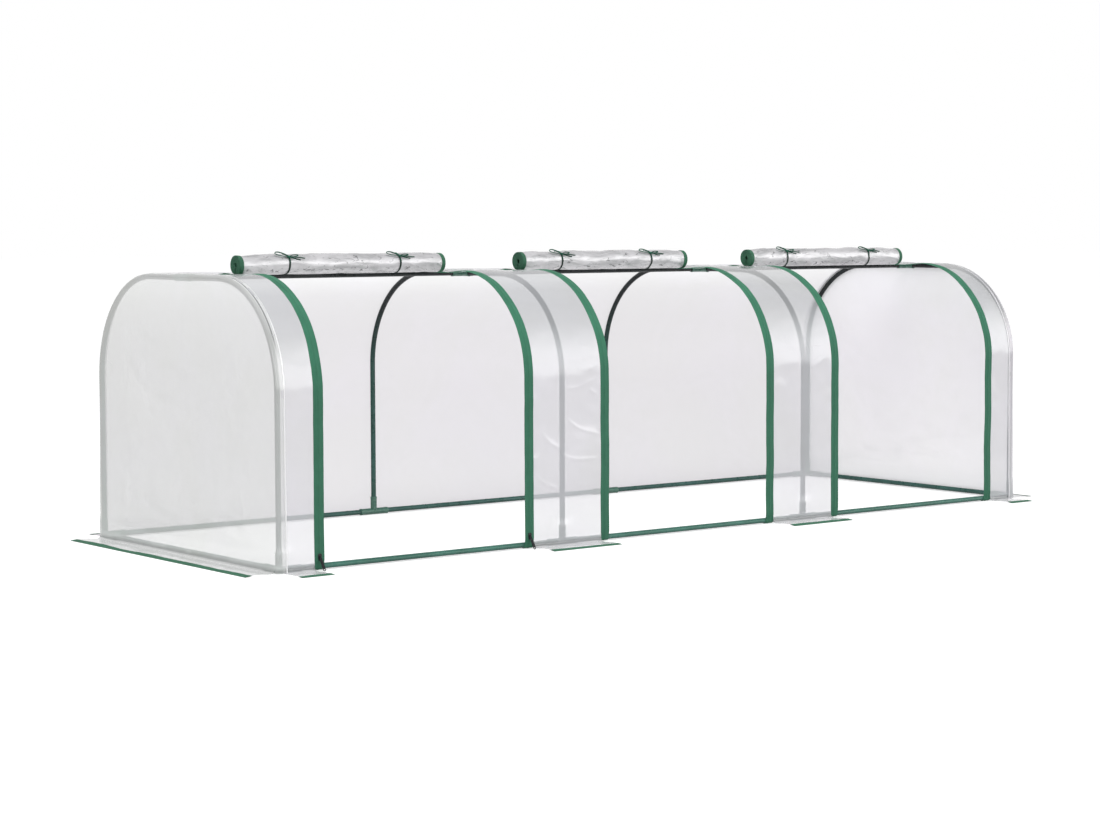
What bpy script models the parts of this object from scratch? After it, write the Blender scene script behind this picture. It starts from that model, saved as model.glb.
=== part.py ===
"""A tunnel greenhouse: hoops of steel tube in push-fit connectors under a clear film cover.

Metres, +Z up. X runs along the tunnel, the doors face -Y, and the origin is on the ground
under the middle of the tunnel.
"""

import math

import bmesh
import bpy
from mathutils import Matrix, Vector

# Frame, between the tubes' centre lines
FRAME_LENGTH = 2.96
FRAME_WIDTH = 1.00
FRAME_HEIGHT = 0.79
BEND_RADIUS = 0.305
BAYS = 3

# Tubes, whose radius is measured across the flats of their sides
TUBE_RADIUS = 0.008
TUBE_WALL = 0.0008
TUBE_SIDES = 12
BEND_STEPS = 10

# Push-fit connectors
SOCKET_CLEARANCE = 0.0003
CONNECTOR_WALL = 0.0024
HUB_HALF = 0.012
CORNER_ARM = 0.070
TEE_ARM = 0.053
LEG_ARM = 0.048
CROWN_ARM = 0.040
MOUTH_CHAMFER = 0.0008

# Cover
FIT_GAP = 0.0003
FILM_THICKNESS = 0.0008
SKIRT_WIDTH = 0.100
BINDING_THICKNESS = 0.0005
BINDING_WIDTH = 0.022
RIDGE_SEAM = 0.014

# Zip bands, and how far the middle of a band stands from the hoop beside it
BAND_WIDTH = 0.033
BAND_THICKNESS = 0.0012
BAND_FROM_END_HOOP = 0.124
BAND_FROM_INNER_HOOP = 0.132
MIDDLE_BAND_FROM_HOOP = 0.155
FOOT_STEPS = 5

# Rolled doors
ROLL_RADIUS = 0.031
ROLL_CORE = 0.008
ROLL_FROM_RIDGE = 0.090
ROLL_STEPS = 14
DOOR_HEM_OVERLAP = 0.006
DOOR_OVERHANG = 0.005
DOOR_SHORTFALLS = (0.020, 0.008, 0.020)

# Tie tapes
TIE_WIDTH = 0.005
TIE_THICKNESS = 0.0009
TIE_PLACE = 0.27
TIE_STEPS = 16
KNOT_ANGLE = math.radians(130.0)
KNOT_RADIUS = 0.0042
KNOT_SHAPE = (1.25, 1.0, 0.8)
TIE_SEAM_ROOM = 0.0012
BOW_LOOP_LENGTH = 0.044
BOW_SHORT_LOOP_LENGTH = 0.030
BOW_LOOP_HALF = 0.0055
BOW_WIDTH = 0.004
BOW_LIFT = 0.00035
LOOP_TILT = 0.22
SHORT_LOOP_TILT = 0.06
BOW_TAIL_LENGTH = 0.052
BOW_SHORT_TAIL_LENGTH = 0.036
TAIL_DROP = 0.20
SHORT_TAIL_DROP = 0.46
TAIL_SWAY = 0.04
LOOP_STEPS = 8
TAIL_STEPS = 4

# Zip sliders and pulls
SLIDER_LENGTH = 0.020
SLIDER_WIDTH = 0.011
SLIDER_THICKNESS = 0.0018
BAIL_WIDTH = 0.0024
BAIL_THICKNESS = 0.0013
BAIL_SPAN = 0.008
BAIL_ROOM = 0.0026
PULL_LENGTH = 0.043
PULL_WIDTH = 0.009
PULL_THICKNESS = 0.0015
PULL_NECK = 0.0072
PULL_EYE_LENGTH = 0.0066
PULL_EYE_WIDTH = 0.0042
PULL_HOLE_RADIUS = 0.0022
PULL_LEAN = math.radians(32.0)
TIP_STEPS = 6

# Sizes that follow from the ones above
SOCKET_RADIUS = TUBE_RADIUS + SOCKET_CLEARANCE
CONNECTOR_RADIUS = SOCKET_RADIUS + CONNECTOR_WALL
BASE_Z = CONNECTOR_RADIUS
RIDGE_Z = BASE_Z + FRAME_HEIGHT
HALF_LENGTH = FRAME_LENGTH / 2
HALF_WIDTH = FRAME_WIDTH / 2
TUBE_END = HUB_HALF + FIT_GAP
COVER_OFFSET = CONNECTOR_RADIUS + FIT_GAP
FILM_MIDDLE = COVER_OFFSET + FILM_THICKNESS / 2
BAND_MIDDLE = COVER_OFFSET + BAND_THICKNESS / 2
BAND_TOP = COVER_OFFSET + BAND_THICKNESS
SKIRT_Z = BINDING_THICKNESS
SKIRT_EDGE = COVER_OFFSET + FILM_THICKNESS + SKIRT_WIDTH
COVER_END = HALF_LENGTH + COVER_OFFSET
TUBE_CORNER_RADIUS = TUBE_RADIUS / math.cos(math.pi / TUBE_SIDES)
HOOP_X = [HALF_LENGTH * (2 * i / BAYS - 1) for i in range(BAYS + 1)]

# The door's cut length, from its hem on the ridge seam down to the ground
DOOR_TOP = RIDGE_SEAM - DOOR_HEM_OVERLAP
DOOR_LENGTH = (
    HALF_WIDTH - BEND_RADIUS - DOOR_TOP
    + math.pi / 2 * (BEND_RADIUS + FILM_MIDDLE)
    + RIDGE_Z - BEND_RADIUS - SKIRT_Z
)
ROLL_LEAD = ROLL_FROM_RIDGE - DOOR_TOP
ROLL_PITCH = math.pi * (ROLL_RADIUS ** 2 - ROLL_CORE ** 2) / (DOOR_LENGTH - ROLL_LEAD)
LEAD_Z = RIDGE_Z + BAND_TOP + FIT_GAP + FILM_THICKNESS / 2
ROLL_Z = LEAD_Z + ROLL_RADIUS

# The tie's corners stay outside the roll's corners
TIE_RADIUS = (
    (ROLL_RADIUS + FILM_THICKNESS / 2 + FIT_GAP) / math.cos(math.pi / TIE_STEPS) + TIE_THICKNESS / 2
)

# A pull leans out from its slider until its tip is on the ground
SLIDER_Y = -(HALF_WIDTH + BAND_TOP + FIT_GAP)
PIVOT_HEIGHT = SLIDER_THICKNESS + BAIL_ROOM / 2
PIVOT_Z = FIT_GAP + PULL_LENGTH * math.cos(PULL_LEAN) + PULL_THICKNESS / 2 * math.sin(PULL_LEAN)
FOOT_Z = PIVOT_Z - SLIDER_LENGTH / 2 - 2 * FIT_GAP


def make_material(name, colour, roughness, metallic=0.0, alpha=1.0):
    """A Principled material with one colour."""
    material = bpy.data.materials.new(name)
    material.use_nodes = True
    shader = material.node_tree.nodes["Principled BSDF"]
    shader.inputs["Base Color"].default_value = (*colour, 1.0)
    shader.inputs["Roughness"].default_value = roughness
    shader.inputs["Metallic"].default_value = metallic
    shader.inputs["Alpha"].default_value = alpha
    return material


def mesh_from(bm, name):
    """Closes a bmesh into a mesh whose faces point out and whose round parts are smooth."""
    bmesh.ops.recalc_face_normals(bm, faces=bm.faces)
    mesh = bpy.data.meshes.new(name)
    bm.to_mesh(mesh)
    bm.free()
    mesh.shade_smooth()
    mesh.set_sharp_from_angle(angle=math.radians(35.0))
    return mesh


def place(name, mesh, material=None, matrix=None):
    """Puts a mesh in the scene as one named piece."""
    piece = bpy.data.objects.new(name, mesh)
    bpy.context.scene.collection.objects.link(piece)
    if material and not mesh.materials:
        mesh.materials.append(material)
    if matrix is not None:
        piece.matrix_world = matrix
    return piece


def path_frames(path, side):
    """Gives each point of a flat path its normal in the path's plane, lengthened at corners."""
    frames = []
    for index, point in enumerate(path):
        before = path[max(index - 1, 0)]
        after = path[min(index + 1, len(path) - 1)]
        incoming = (point - before).normalized() if index else (after - point).normalized()
        outgoing = (after - point).normalized() if index < len(path) - 1 else incoming
        tangent = (incoming + outgoing).normalized()
        normal = side.cross(tangent).normalized()
        frames.append((point, normal / max(tangent.dot(incoming), 0.3)))
    return frames


def ring_of(bm, point, normal, side, section):
    """Adds one section's vertices at a point of the path."""
    return [bm.verts.new(point + side * across + normal * along) for across, along in section]


def join_rings(bm, first, second):
    """Bridges two rings of the same number of vertices."""
    count = len(first)
    for i in range(count):
        j = (i + 1) % count
        bm.faces.new((first[i], first[j], second[j], second[i]))


def sweep(name, path, side, section, bore=None):
    """Sweeps a closed section along a flat path, with an optional bore along its middle.

    A section's points are pairs: how far across the path's plane, and how far along its normal.
    """
    bm = bmesh.new()
    frames = path_frames(path, side)
    rings = [ring_of(bm, point, normal, side, section) for point, normal in frames]
    for first, second in zip(rings, rings[1:]):
        join_rings(bm, first, second)
    if bore is None:
        bm.faces.new(rings[0])
        bm.faces.new(rings[-1])
    else:
        inner = [ring_of(bm, point, normal, side, bore) for point, normal in frames]
        for first, second in zip(inner, inner[1:]):
            join_rings(bm, first, second)
        join_rings(bm, rings[0], inner[0])
        join_rings(bm, rings[-1], inner[-1])
    return mesh_from(bm, name)


def circle(radius, sides=TUBE_SIDES):
    """A regular outline with flats at the four quarters, measured across its flats."""
    corner = radius / math.cos(math.pi / sides)
    return [
        (corner * math.cos(2 * math.pi * (k + 0.5) / sides), corner * math.sin(2 * math.pi * (k + 0.5) / sides))
        for k in range(sides)
    ]


def strip(low, high, thickness):
    """The section of a flat sheet, from low to high across its path."""
    half = thickness / 2
    return [(low, -half), (high, -half), (high, half), (low, half)]


def extrude_outline(name, outline, depth_axis, start, end, axes):
    """Extrudes a flat outline: axes give the directions of its two coordinates."""
    bm = bmesh.new()
    first, second = axes
    rings = []
    for depth in (start, end):
        rings.append([bm.verts.new(first * a + second * b + depth_axis * depth) for a, b in outline])
    join_rings(bm, *rings)
    bm.faces.new(rings[0])
    bm.faces.new(rings[1])
    return mesh_from(bm, name)


def combine(name, adds, cuts=()):
    """Unites closed meshes and cuts others from them, and gives the result as one new mesh."""
    bodies = [place(f"{name}_work_{i}", mesh) for i, mesh in enumerate([*adds, *cuts])]
    target = bodies[0]
    for index, tool in enumerate(bodies[1:], start=1):
        step = target.modifiers.new(f"step_{index}", "BOOLEAN")
        step.operation = "UNION" if index < len(adds) else "DIFFERENCE"
        step.solver = "EXACT"
        step.object = tool
        tool.hide_render = True
        tool.display_type = "WIRE"
    depsgraph = bpy.context.evaluated_depsgraph_get()
    mesh = bpy.data.meshes.new_from_object(target.evaluated_get(depsgraph))
    mesh.name = name
    for body in bodies:
        bpy.data.objects.remove(body)
    bm = bmesh.new()
    bm.from_mesh(mesh)
    bmesh.ops.remove_doubles(bm, verts=bm.verts, dist=0.00002)
    bmesh.ops.dissolve_limit(bm, angle_limit=math.radians(0.5), verts=bm.verts, edges=bm.edges)
    bpy.data.meshes.remove(mesh)
    return mesh_from(bm, name)


def half_profile(offset, inner_end, foot_z):
    """Points from the ridge over the bend to the foot: distance from the middle, and height."""
    middle = HALF_WIDTH - BEND_RADIUS
    centre_z = RIDGE_Z - BEND_RADIUS
    radius = BEND_RADIUS + offset
    points = [(inner_end, RIDGE_Z + offset)]
    for i in range(BEND_STEPS + 1):
        angle = math.pi / 2 * (1 - i / BEND_STEPS)
        points.append((middle + radius * math.cos(angle), centre_z + radius * math.sin(angle)))
    points.append((middle + radius, foot_z))
    return points


def on_side(points, side_sign, x=0.0):
    """Turns profile points into places in the scene, on the front (-1) or the rear (+1)."""
    return [Vector((x, side_sign * distance, height)) for distance, height in points]


X_AXIS = Vector((1.0, 0.0, 0.0))
Y_AXIS = Vector((0.0, 1.0, 0.0))
Z_AXIS = Vector((0.0, 0.0, 1.0))


def straight_tube(name, start, end):
    """A hollow straight tube whose ends stop inside the connectors at start and end."""
    direction = (end - start).normalized()
    side = X_AXIS if abs(direction.x) < 0.5 else Y_AXIS
    path = [start + direction * TUBE_END, end - direction * TUBE_END]
    return sweep(name, path, side, circle(TUBE_RADIUS), circle(TUBE_RADIUS - TUBE_WALL))


def build_tubes(steel):
    """The base rails, the ridge tubes and the eight bent half hoops."""
    for bay in range(BAYS):
        left, right = HOOP_X[bay], HOOP_X[bay + 1]
        for label, y, z in (
            ("base_rail_front", -HALF_WIDTH, BASE_Z),
            ("base_rail_rear", HALF_WIDTH, BASE_Z),
            ("ridge_tube", 0.0, RIDGE_Z),
        ):
            name = f"{label}_{bay + 1}"
            place(name, straight_tube(name, Vector((left, y, z)), Vector((right, y, z))), steel)
    for label, x in (("left", -HALF_LENGTH), ("right", HALF_LENGTH)):
        name = f"base_rail_{label}"
        mesh = straight_tube(name, Vector((x, -HALF_WIDTH, BASE_Z)), Vector((x, HALF_WIDTH, BASE_Z)))
        place(name, mesh, steel)
    profile = half_profile(0.0, TUBE_END, BASE_Z + TUBE_END)
    for label, sign in (("front", -1), ("rear", 1)):
        mesh = sweep(
            f"half_hoop_{label}", on_side(profile, sign), X_AXIS,
            circle(TUBE_RADIUS), circle(TUBE_RADIUS - TUBE_WALL),
        )
        for index, x in enumerate(HOOP_X):
            place(f"half_hoop_{label}_{index + 1}", mesh, steel, Matrix.Translation((x, 0.0, 0.0)))


def connector_arm(name, direction, start, length):
    """One solid arm of a connector, chamfered round each mouth and blunt where it starts in the hub."""
    side = X_AXIS if abs(direction.x) < 0.5 else Y_AXIS
    lip = CONNECTOR_RADIUS - MOUTH_CHAMFER
    stations = [(start, CONNECTOR_RADIUS)]
    if start < -CONNECTOR_RADIUS:
        stations = [(start, lip), (start + MOUTH_CHAMFER, CONNECTOR_RADIUS)]
    stations += [(length - MOUTH_CHAMFER, CONNECTOR_RADIUS), (length, lip)]
    bm = bmesh.new()
    normal = side.cross(direction)
    rings = [ring_of(bm, direction * distance, normal, side, circle(radius)) for distance, radius in stations]
    for first, second in zip(rings, rings[1:]):
        join_rings(bm, first, second)
    bm.faces.new(rings[0])
    bm.faces.new(rings[-1])
    return mesh_from(bm, name)


def connector_socket(name, direction, length):
    """The hollow in one arm, from the hub's stop out past the mouth."""
    side = X_AXIS if abs(direction.x) < 0.5 else Y_AXIS
    path = [direction * HUB_HALF, direction * (length + CONNECTOR_WALL)]
    return sweep(name, path, side, circle(SOCKET_RADIUS))


def connector(name, through, single):
    """A push-fit connector.

    through lists (direction, length) of arms that run straight through the hub, and single
    lists those that end at it.
    """
    blunt = -0.8 * CONNECTOR_RADIUS
    adds = [connector_arm(f"{name}_through_{i}", d, -length, length) for i, (d, length) in enumerate(through)]
    adds += [connector_arm(f"{name}_arm_{i}", d, blunt, length) for i, (d, length) in enumerate(single)]
    mouths = [(d * sign, length) for d, length in through for sign in (1, -1)] + list(single)
    cuts = [connector_socket(f"{name}_socket_{i}", d, length) for i, (d, length) in enumerate(mouths)]
    return combine(name, adds, cuts)


def build_connectors(plastic):
    """Corners and tees on the ground, tees and crosses on the ridge."""
    corner = connector("corner", [], [(X_AXIS, CORNER_ARM), (Y_AXIS, CORNER_ARM), (Z_AXIS, LEG_ARM)])
    places = (
        ("corner_front_left", -1, -1, 0), ("corner_front_right", 1, -1, 90),
        ("corner_rear_right", 1, 1, 180), ("corner_rear_left", -1, 1, 270),
    )
    for name, x_sign, y_sign, turn in places:
        spot = Matrix.Translation((x_sign * HALF_LENGTH, y_sign * HALF_WIDTH, BASE_Z))
        place(name, corner, plastic, spot @ Matrix.Rotation(math.radians(turn), 4, "Z"))
    base_tee = connector("base_tee", [(X_AXIS, TEE_ARM)], [(Z_AXIS, LEG_ARM)])
    crown_cross = connector("crown_cross", [(X_AXIS, CROWN_ARM), (Y_AXIS, CROWN_ARM)], [])
    crown_tee = connector("crown_tee", [(Y_AXIS, CROWN_ARM)], [(X_AXIS, CROWN_ARM)])
    for index in range(1, BAYS):
        x = HOOP_X[index]
        for label, sign in (("front", -1), ("rear", 1)):
            spot = Matrix.Translation((x, sign * HALF_WIDTH, BASE_Z))
            place(f"base_tee_{label}_{index + 1}", base_tee, plastic, spot)
        place(f"crown_cross_{index + 1}", crown_cross, plastic, Matrix.Translation((x, 0.0, RIDGE_Z)))
    for label, sign, turn in (("left", -1, 0), ("right", 1, 180)):
        spot = Matrix.Translation((sign * HALF_LENGTH, 0.0, RIDGE_Z))
        place(f"crown_tee_{label}", crown_tee, plastic, spot @ Matrix.Rotation(math.radians(turn), 4, "Z"))


def band_centres():
    """The zip bands' middles, as (left, right) for each door from left to right."""
    first = (-HALF_LENGTH + BAND_FROM_END_HOOP, HOOP_X[1] - BAND_FROM_INNER_HOOP)
    middle = (HOOP_X[1] + MIDDLE_BAND_FROM_HOOP, HOOP_X[2] - MIDDLE_BAND_FROM_HOOP)
    return [first, middle, (-first[1], -first[0])]


def panel_ranges():
    """Where each front panel of film starts and ends along X."""
    reach = BAND_WIDTH / 2 + FIT_GAP
    edges = [-COVER_END + FIT_GAP]
    for left, right in band_centres():
        edges += [left - reach, right + reach]
    edges.append(COVER_END - FIT_GAP)
    return list(zip(edges[0::2], edges[1::2]))


def film_path(side_sign, inner_end):
    """The film's middle surface, from the ridge to the skirt's outer edge."""
    skirt_middle = SKIRT_Z + FILM_THICKNESS / 2
    points = half_profile(FILM_MIDDLE, inner_end, skirt_middle)
    points.append((HALF_WIDTH + SKIRT_EDGE, skirt_middle))
    return on_side(points, side_sign)


def binding_outline(side_sign, axis_distance):
    """The section of the tape folded over a skirt's edge: distance out, and height."""
    inner = side_sign * (axis_distance + SKIRT_EDGE - BINDING_WIDTH)
    outer = side_sign * (axis_distance + SKIRT_EDGE + BINDING_THICKNESS)
    top = SKIRT_Z + FILM_THICKNESS + BINDING_THICKNESS
    return [(inner, 0.0), (outer, 0.0), (outer, top), (inner, top)]


def end_film(name):
    """An end wall: the arch's outline and the skirt turned outward along its foot, at +X."""
    offset = COVER_OFFSET + FILM_THICKNESS
    half = half_profile(offset, 0.0, SKIRT_Z)[1:]
    outline = [(-d, z) for d, z in reversed(half)] + half
    outside = COVER_END + FILM_THICKNESS
    wall = extrude_outline(f"{name}_wall", outline, X_AXIS, COVER_END, outside, (Y_AXIS, Z_AXIS))
    flap = [
        (COVER_END, SKIRT_Z), (HALF_LENGTH + SKIRT_EDGE, SKIRT_Z),
        (HALF_LENGTH + SKIRT_EDGE, SKIRT_Z + FILM_THICKNESS), (COVER_END, SKIRT_Z + FILM_THICKNESS),
    ]
    skirt = extrude_outline(f"{name}_skirt", flap, Y_AXIS, -HALF_WIDTH, HALF_WIDTH, (X_AXIS, Z_AXIS))
    edge = binding_outline(1, HALF_LENGTH)
    binding = extrude_outline(f"{name}_binding", edge, Y_AXIS, -HALF_WIDTH, HALF_WIDTH, (X_AXIS, Z_AXIS))
    return combine(name, [wall, skirt, binding])


def long_film(name, side_sign, inner_end, low, high):
    """Film from the ridge down to the ground, with the binding sewn to its skirt."""
    sheet = sweep(f"{name}_sheet", film_path(side_sign, inner_end), X_AXIS, strip(low, high, FILM_THICKNESS))
    edge = binding_outline(side_sign, HALF_WIDTH)
    binding = extrude_outline(f"{name}_binding", edge, X_AXIS, low, high, (Y_AXIS, Z_AXIS))
    return combine(name, [sheet, binding])


def build_films(film):
    """The end walls, the rear wall with its roof, and the four front panels, each with its skirt."""
    end = end_film("end_film")
    place("end_film_right", end, film)
    place("end_film_left", end, film, Matrix.Rotation(math.pi, 4, "Z"))
    reach = COVER_END - FIT_GAP
    place("rear_film", long_film("rear_film", 1, -RIDGE_SEAM, -reach, reach), film)
    for index, (left, right) in enumerate(panel_ranges()):
        name = f"front_film_{index + 1}"
        place(name, long_film(name, -1, RIDGE_SEAM + FIT_GAP, left, right), film)


def band_path():
    """A zip band's middle surface, from the ridge down the front and round the base rail."""
    points = half_profile(BAND_MIDDLE, RIDGE_SEAM + FIT_GAP, FOOT_Z)
    step = math.radians(105.0) / FOOT_STEPS
    radius = TUBE_CORNER_RADIUS / math.cos(step / 2) + FIT_GAP + BAND_THICKNESS / 2
    for i in range(FOOT_STEPS + 1):
        angle = -i * step
        points.append((HALF_WIDTH + radius * math.cos(angle), BASE_Z + radius * math.sin(angle)))
    return on_side(points, -1)


def build_bands(tape):
    """Six bands that edge the doorways, the zips' fixed sides."""
    path = band_path()
    half = BAND_WIDTH / 2
    mesh = sweep("zip_band", path, X_AXIS, strip(-half, half, BAND_THICKNESS))
    for door, pair in enumerate(band_centres(), start=1):
        for label, x in zip(("left", "right"), pair):
            place(f"zip_band_{door}_{label}", mesh, tape, Matrix.Translation((x, 0.0, 0.0)))


def roll_path():
    """The rolled door in section: a flat lead from the seam, then a spiral of the door's true length."""
    turns = (ROLL_RADIUS - ROLL_CORE) / ROLL_PITCH
    steps = round(turns * ROLL_STEPS)
    points = [(-DOOR_TOP, LEAD_Z)]
    for i in range(steps + 1):
        share = i / steps
        radius = ROLL_RADIUS + (ROLL_CORE - ROLL_RADIUS) * share
        angle = 2 * math.pi * turns * share
        points.append((-ROLL_FROM_RIDGE - radius * math.sin(angle), ROLL_Z - radius * math.cos(angle)))
    return [Vector((0.0, y, z)) for y, z in points]


def least_roll_gap(path):
    """The clear space between neighbouring turns, measured on the path's points."""
    spiral = path[1:]
    least = min(
        (a - b).length
        for i, a in enumerate(spiral)
        for b in spiral[i + ROLL_STEPS // 2:]
    )
    return least - FILM_THICKNESS


def door_spans():
    """Each rolled door's two ends along X. It lies on its bands, wound a little short on its right."""
    return [
        (left - DOOR_OVERHANG, right + DOOR_OVERHANG - shortfall)
        for (left, right), shortfall in zip(band_centres(), DOOR_SHORTFALLS)
    ]


def build_doors(film):
    """The three doors, each wound into a roll that lies on its bands in front of the ridge."""
    path = roll_path()
    print("least gap between turns of a roll:", round(least_roll_gap(path) * 1000, 3), "mm")
    turns = (ROLL_RADIUS - ROLL_CORE) / ROLL_PITCH
    print("door length:", round(DOOR_LENGTH, 4), "m, in turns:", round(turns, 2))
    for door, (left, right) in enumerate(door_spans(), start=1):
        middle = (left + right) / 2
        name = f"door_roll_{door}"
        hinge = Vector((0.0, -DOOR_TOP, LEAD_Z))
        local = [point - hinge for point in path]
        mesh = sweep(name, local, X_AXIS, strip(left - middle, right - middle, FILM_THICKNESS))
        place(name, mesh, film, Matrix.Translation(hinge + X_AXIS * middle))


def on_roll(angle, radius):
    """A place round the roll: angle 0 is under it, and it turns towards the front."""
    return Vector((0.0, -ROLL_FROM_RIDGE - radius * math.sin(angle), ROLL_Z - radius * math.cos(angle)))


def tie_wrap():
    """The tie's way round the roll: from the seam over the lead, over the roll, and back under both."""
    step = 2 * math.pi / TIE_STEPS
    above_z = LEAD_Z + FILM_THICKNESS / 2 + FIT_GAP + TIE_THICKNESS / 2
    first = 2 * math.pi - math.acos((ROLL_Z - above_z) / TIE_RADIUS)
    steps = math.ceil(first / step)
    points = [Vector((0.0, -DOOR_TOP - FIT_GAP, above_z))]
    points += [on_roll(first * (1 - i / steps), TIE_RADIUS) for i in range(steps + 1)]
    points.append(Vector((0.0, -RIDGE_SEAM - TIE_SEAM_ROOM, ROLL_Z - TIE_RADIUS)))
    return points


def tie_mesh():
    """One tie: a tape wrapped round the roll and tied in a bow on its upper front."""
    wrap = sweep("tie_wrap", tie_wrap(), X_AXIS, strip(-TIE_WIDTH / 2, TIE_WIDTH / 2, TIE_THICKNESS))
    outward = (on_roll(KNOT_ANGLE, 1.0) - on_roll(KNOT_ANGLE, 0.0)).normalized()
    upward = outward.cross(X_AXIS)
    centre = on_roll(KNOT_ANGLE, TIE_RADIUS + KNOT_RADIUS * KNOT_SHAPE[2])
    knot = bmesh.new()
    turn = Matrix((X_AXIS, -upward, outward)).transposed().to_4x4()
    shape = Matrix.Translation(centre) @ turn @ Matrix.Diagonal((*KNOT_SHAPE, 1.0))
    bmesh.ops.create_uvsphere(knot, u_segments=8, v_segments=5, radius=KNOT_RADIUS, matrix=shape)
    pieces = [wrap, mesh_from(knot, "tie_knot")]

    half = BOW_WIDTH / 2
    start = KNOT_RADIUS / 2
    lift = -BOW_LIFT
    long_loop = (-1, BOW_LOOP_LENGTH, LOOP_TILT)
    short_loop = (1, BOW_SHORT_LOOP_LENGTH, SHORT_LOOP_TILT)
    for sign, length, tilt in (long_loop, short_loop):
        path = []
        for i in range(LOOP_STEPS + 1):
            share = i / LOOP_STEPS
            reach = math.sin(math.pi * share)
            spread = TIE_THICKNESS * math.cos(math.pi * share) + BOW_LOOP_HALF * math.sin(2 * math.pi * share)
            along = X_AXIS * sign * (start + (length - start) * reach)
            path.append(centre + along + upward * (spread + tilt * length * reach))
        pieces.append(sweep("tie_loop", path, outward, strip(lift - half, lift + half, TIE_THICKNESS)))
        lift += BOW_LIFT
    for drop, length in ((TAIL_DROP, BOW_TAIL_LENGTH), (SHORT_TAIL_DROP, BOW_SHORT_TAIL_LENGTH)):
        path = []
        for i in range(TAIL_STEPS + 1):
            share = i / TAIL_STEPS
            sway = TAIL_SWAY * math.sin(2 * math.pi * share) - drop * share
            path.append(centre + X_AXIS * (start / 2 + length * share) + upward * length * sway)
        pieces.append(sweep("tie_tail", path, outward, strip(lift - half, lift + half, TIE_THICKNESS)))
        lift += BOW_LIFT
    return combine("tie", pieces)


def build_ties(tape):
    """Two ties round each rolled door."""
    hinge = Vector((0.0, -DOOR_TOP, LEAD_Z))
    mesh = tie_mesh()
    mesh.transform(Matrix.Translation(-hinge))
    for door, (left, right) in enumerate(door_spans(), start=1):
        for label, sign in (("left", -1), ("right", 1)):
            x = (left + right) / 2 + sign * TIE_PLACE * (right - left)
            place(f"door_tie_{door}_{label}", mesh, tape, Matrix.Translation(hinge + X_AXIS * x))


def slider_mesh():
    """A zip slider, its back on the plane y = 0 and its face towards -Y, its bail round the origin."""
    half, wide, narrow = SLIDER_LENGTH / 2, SLIDER_WIDTH / 2, SLIDER_WIDTH * 0.32
    outline = [
        (-narrow, -half), (narrow, -half), (wide, half * 0.15), (wide, half * 0.75),
        (wide * 0.6, half), (-wide * 0.6, half), (-wide, half * 0.75), (-wide, half * 0.15),
    ]
    plate = extrude_outline("slider_plate", outline, -Y_AXIS, 0.0, SLIDER_THICKNESS, (X_AXIS, Z_AXIS))
    reach = BAIL_SPAN / 2
    top = SLIDER_THICKNESS + BAIL_ROOM + BAIL_THICKNESS / 2
    sunk = SLIDER_THICKNESS * 0.5
    bend = BAIL_THICKNESS
    path = [
        Vector((0.0, -sunk, -reach)), Vector((0.0, -top + bend, -reach)), Vector((0.0, -top, -reach + bend)),
        Vector((0.0, -top, reach - bend)), Vector((0.0, -top + bend, reach)), Vector((0.0, -sunk, reach)),
    ]
    bail = sweep("slider_bail", path, X_AXIS, strip(-BAIL_WIDTH / 2, BAIL_WIDTH / 2, BAIL_THICKNESS))
    return combine("zip_slider", [plate, bail])


def pull_mesh():
    """A pull hanging from the origin, where its cross bar turns in the slider's bail."""
    neck, wide = PULL_NECK / 2, PULL_WIDTH / 2
    bar = PULL_THICKNESS / 2
    shoulder = PULL_EYE_LENGTH + PULL_THICKNESS
    tip = PULL_LENGTH - wide
    outline = [(neck, bar), (neck, -shoulder), (wide, -shoulder * 1.8)]
    for i in range(TIP_STEPS + 1):
        angle = math.pi * i / TIP_STEPS
        outline.append((wide * math.cos(angle), -tip - wide * math.sin(angle)))
    outline += [(-wide, -shoulder * 1.8), (-neck, -shoulder), (-neck, bar)]
    body = extrude_outline("pull_body", outline, Y_AXIS, -bar, bar, (X_AXIS, Z_AXIS))
    eye_half = PULL_EYE_WIDTH / 2
    eye = [(-eye_half, -PULL_EYE_LENGTH), (eye_half, -PULL_EYE_LENGTH), (eye_half, -bar), (-eye_half, -bar)]
    past = 2 * PULL_THICKNESS
    eye_cut = extrude_outline("pull_eye", eye, Y_AXIS, -past, past, (X_AXIS, Z_AXIS))
    hole = [(x, z - tip) for x, z in circle(PULL_HOLE_RADIUS, 8)]
    hole_cut = extrude_outline("pull_hole", hole, Y_AXIS, -past, past, (X_AXIS, Z_AXIS))
    return combine("zip_pull", [body], [eye_cut, hole_cut])


def build_zips(metal):
    """The first door's two sliders, open at the feet of its bands."""
    slider, pull = slider_mesh(), pull_mesh()
    for label, x in zip(("left", "right"), band_centres()[0]):
        place(f"zip_slider_{label}", slider, metal, Matrix.Translation((x, SLIDER_Y, PIVOT_Z)))
        lean = Matrix.Rotation(-PULL_LEAN, 4, "X")
        pivot = Matrix.Translation((x, SLIDER_Y - PIVOT_HEIGHT, PIVOT_Z))
        place(f"zip_pull_{label}", pull, metal, pivot @ lean)


def main():
    for old in list(bpy.data.objects):
        bpy.data.objects.remove(old)
    steel = make_material("green_coated_steel", (0.055, 0.105, 0.088), 0.38, 0.25)
    plastic = make_material("dark_green_plastic", (0.040, 0.085, 0.068), 0.55)
    film = make_material("clear_film", (0.86, 0.87, 0.88), 0.18, alpha=0.35)
    rolled = make_material("rolled_film", (0.62, 0.63, 0.64), 0.25, alpha=0.9)
    tape = make_material("green_tape", (0.056, 0.162, 0.095), 0.75)
    metal = make_material("black_zip_metal", (0.012, 0.013, 0.014), 0.35, 0.6)
    build_tubes(steel)
    build_connectors(plastic)
    build_films(film)
    build_bands(tape)
    build_doors(rolled)
    build_ties(tape)
    build_zips(metal)


main()
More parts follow.
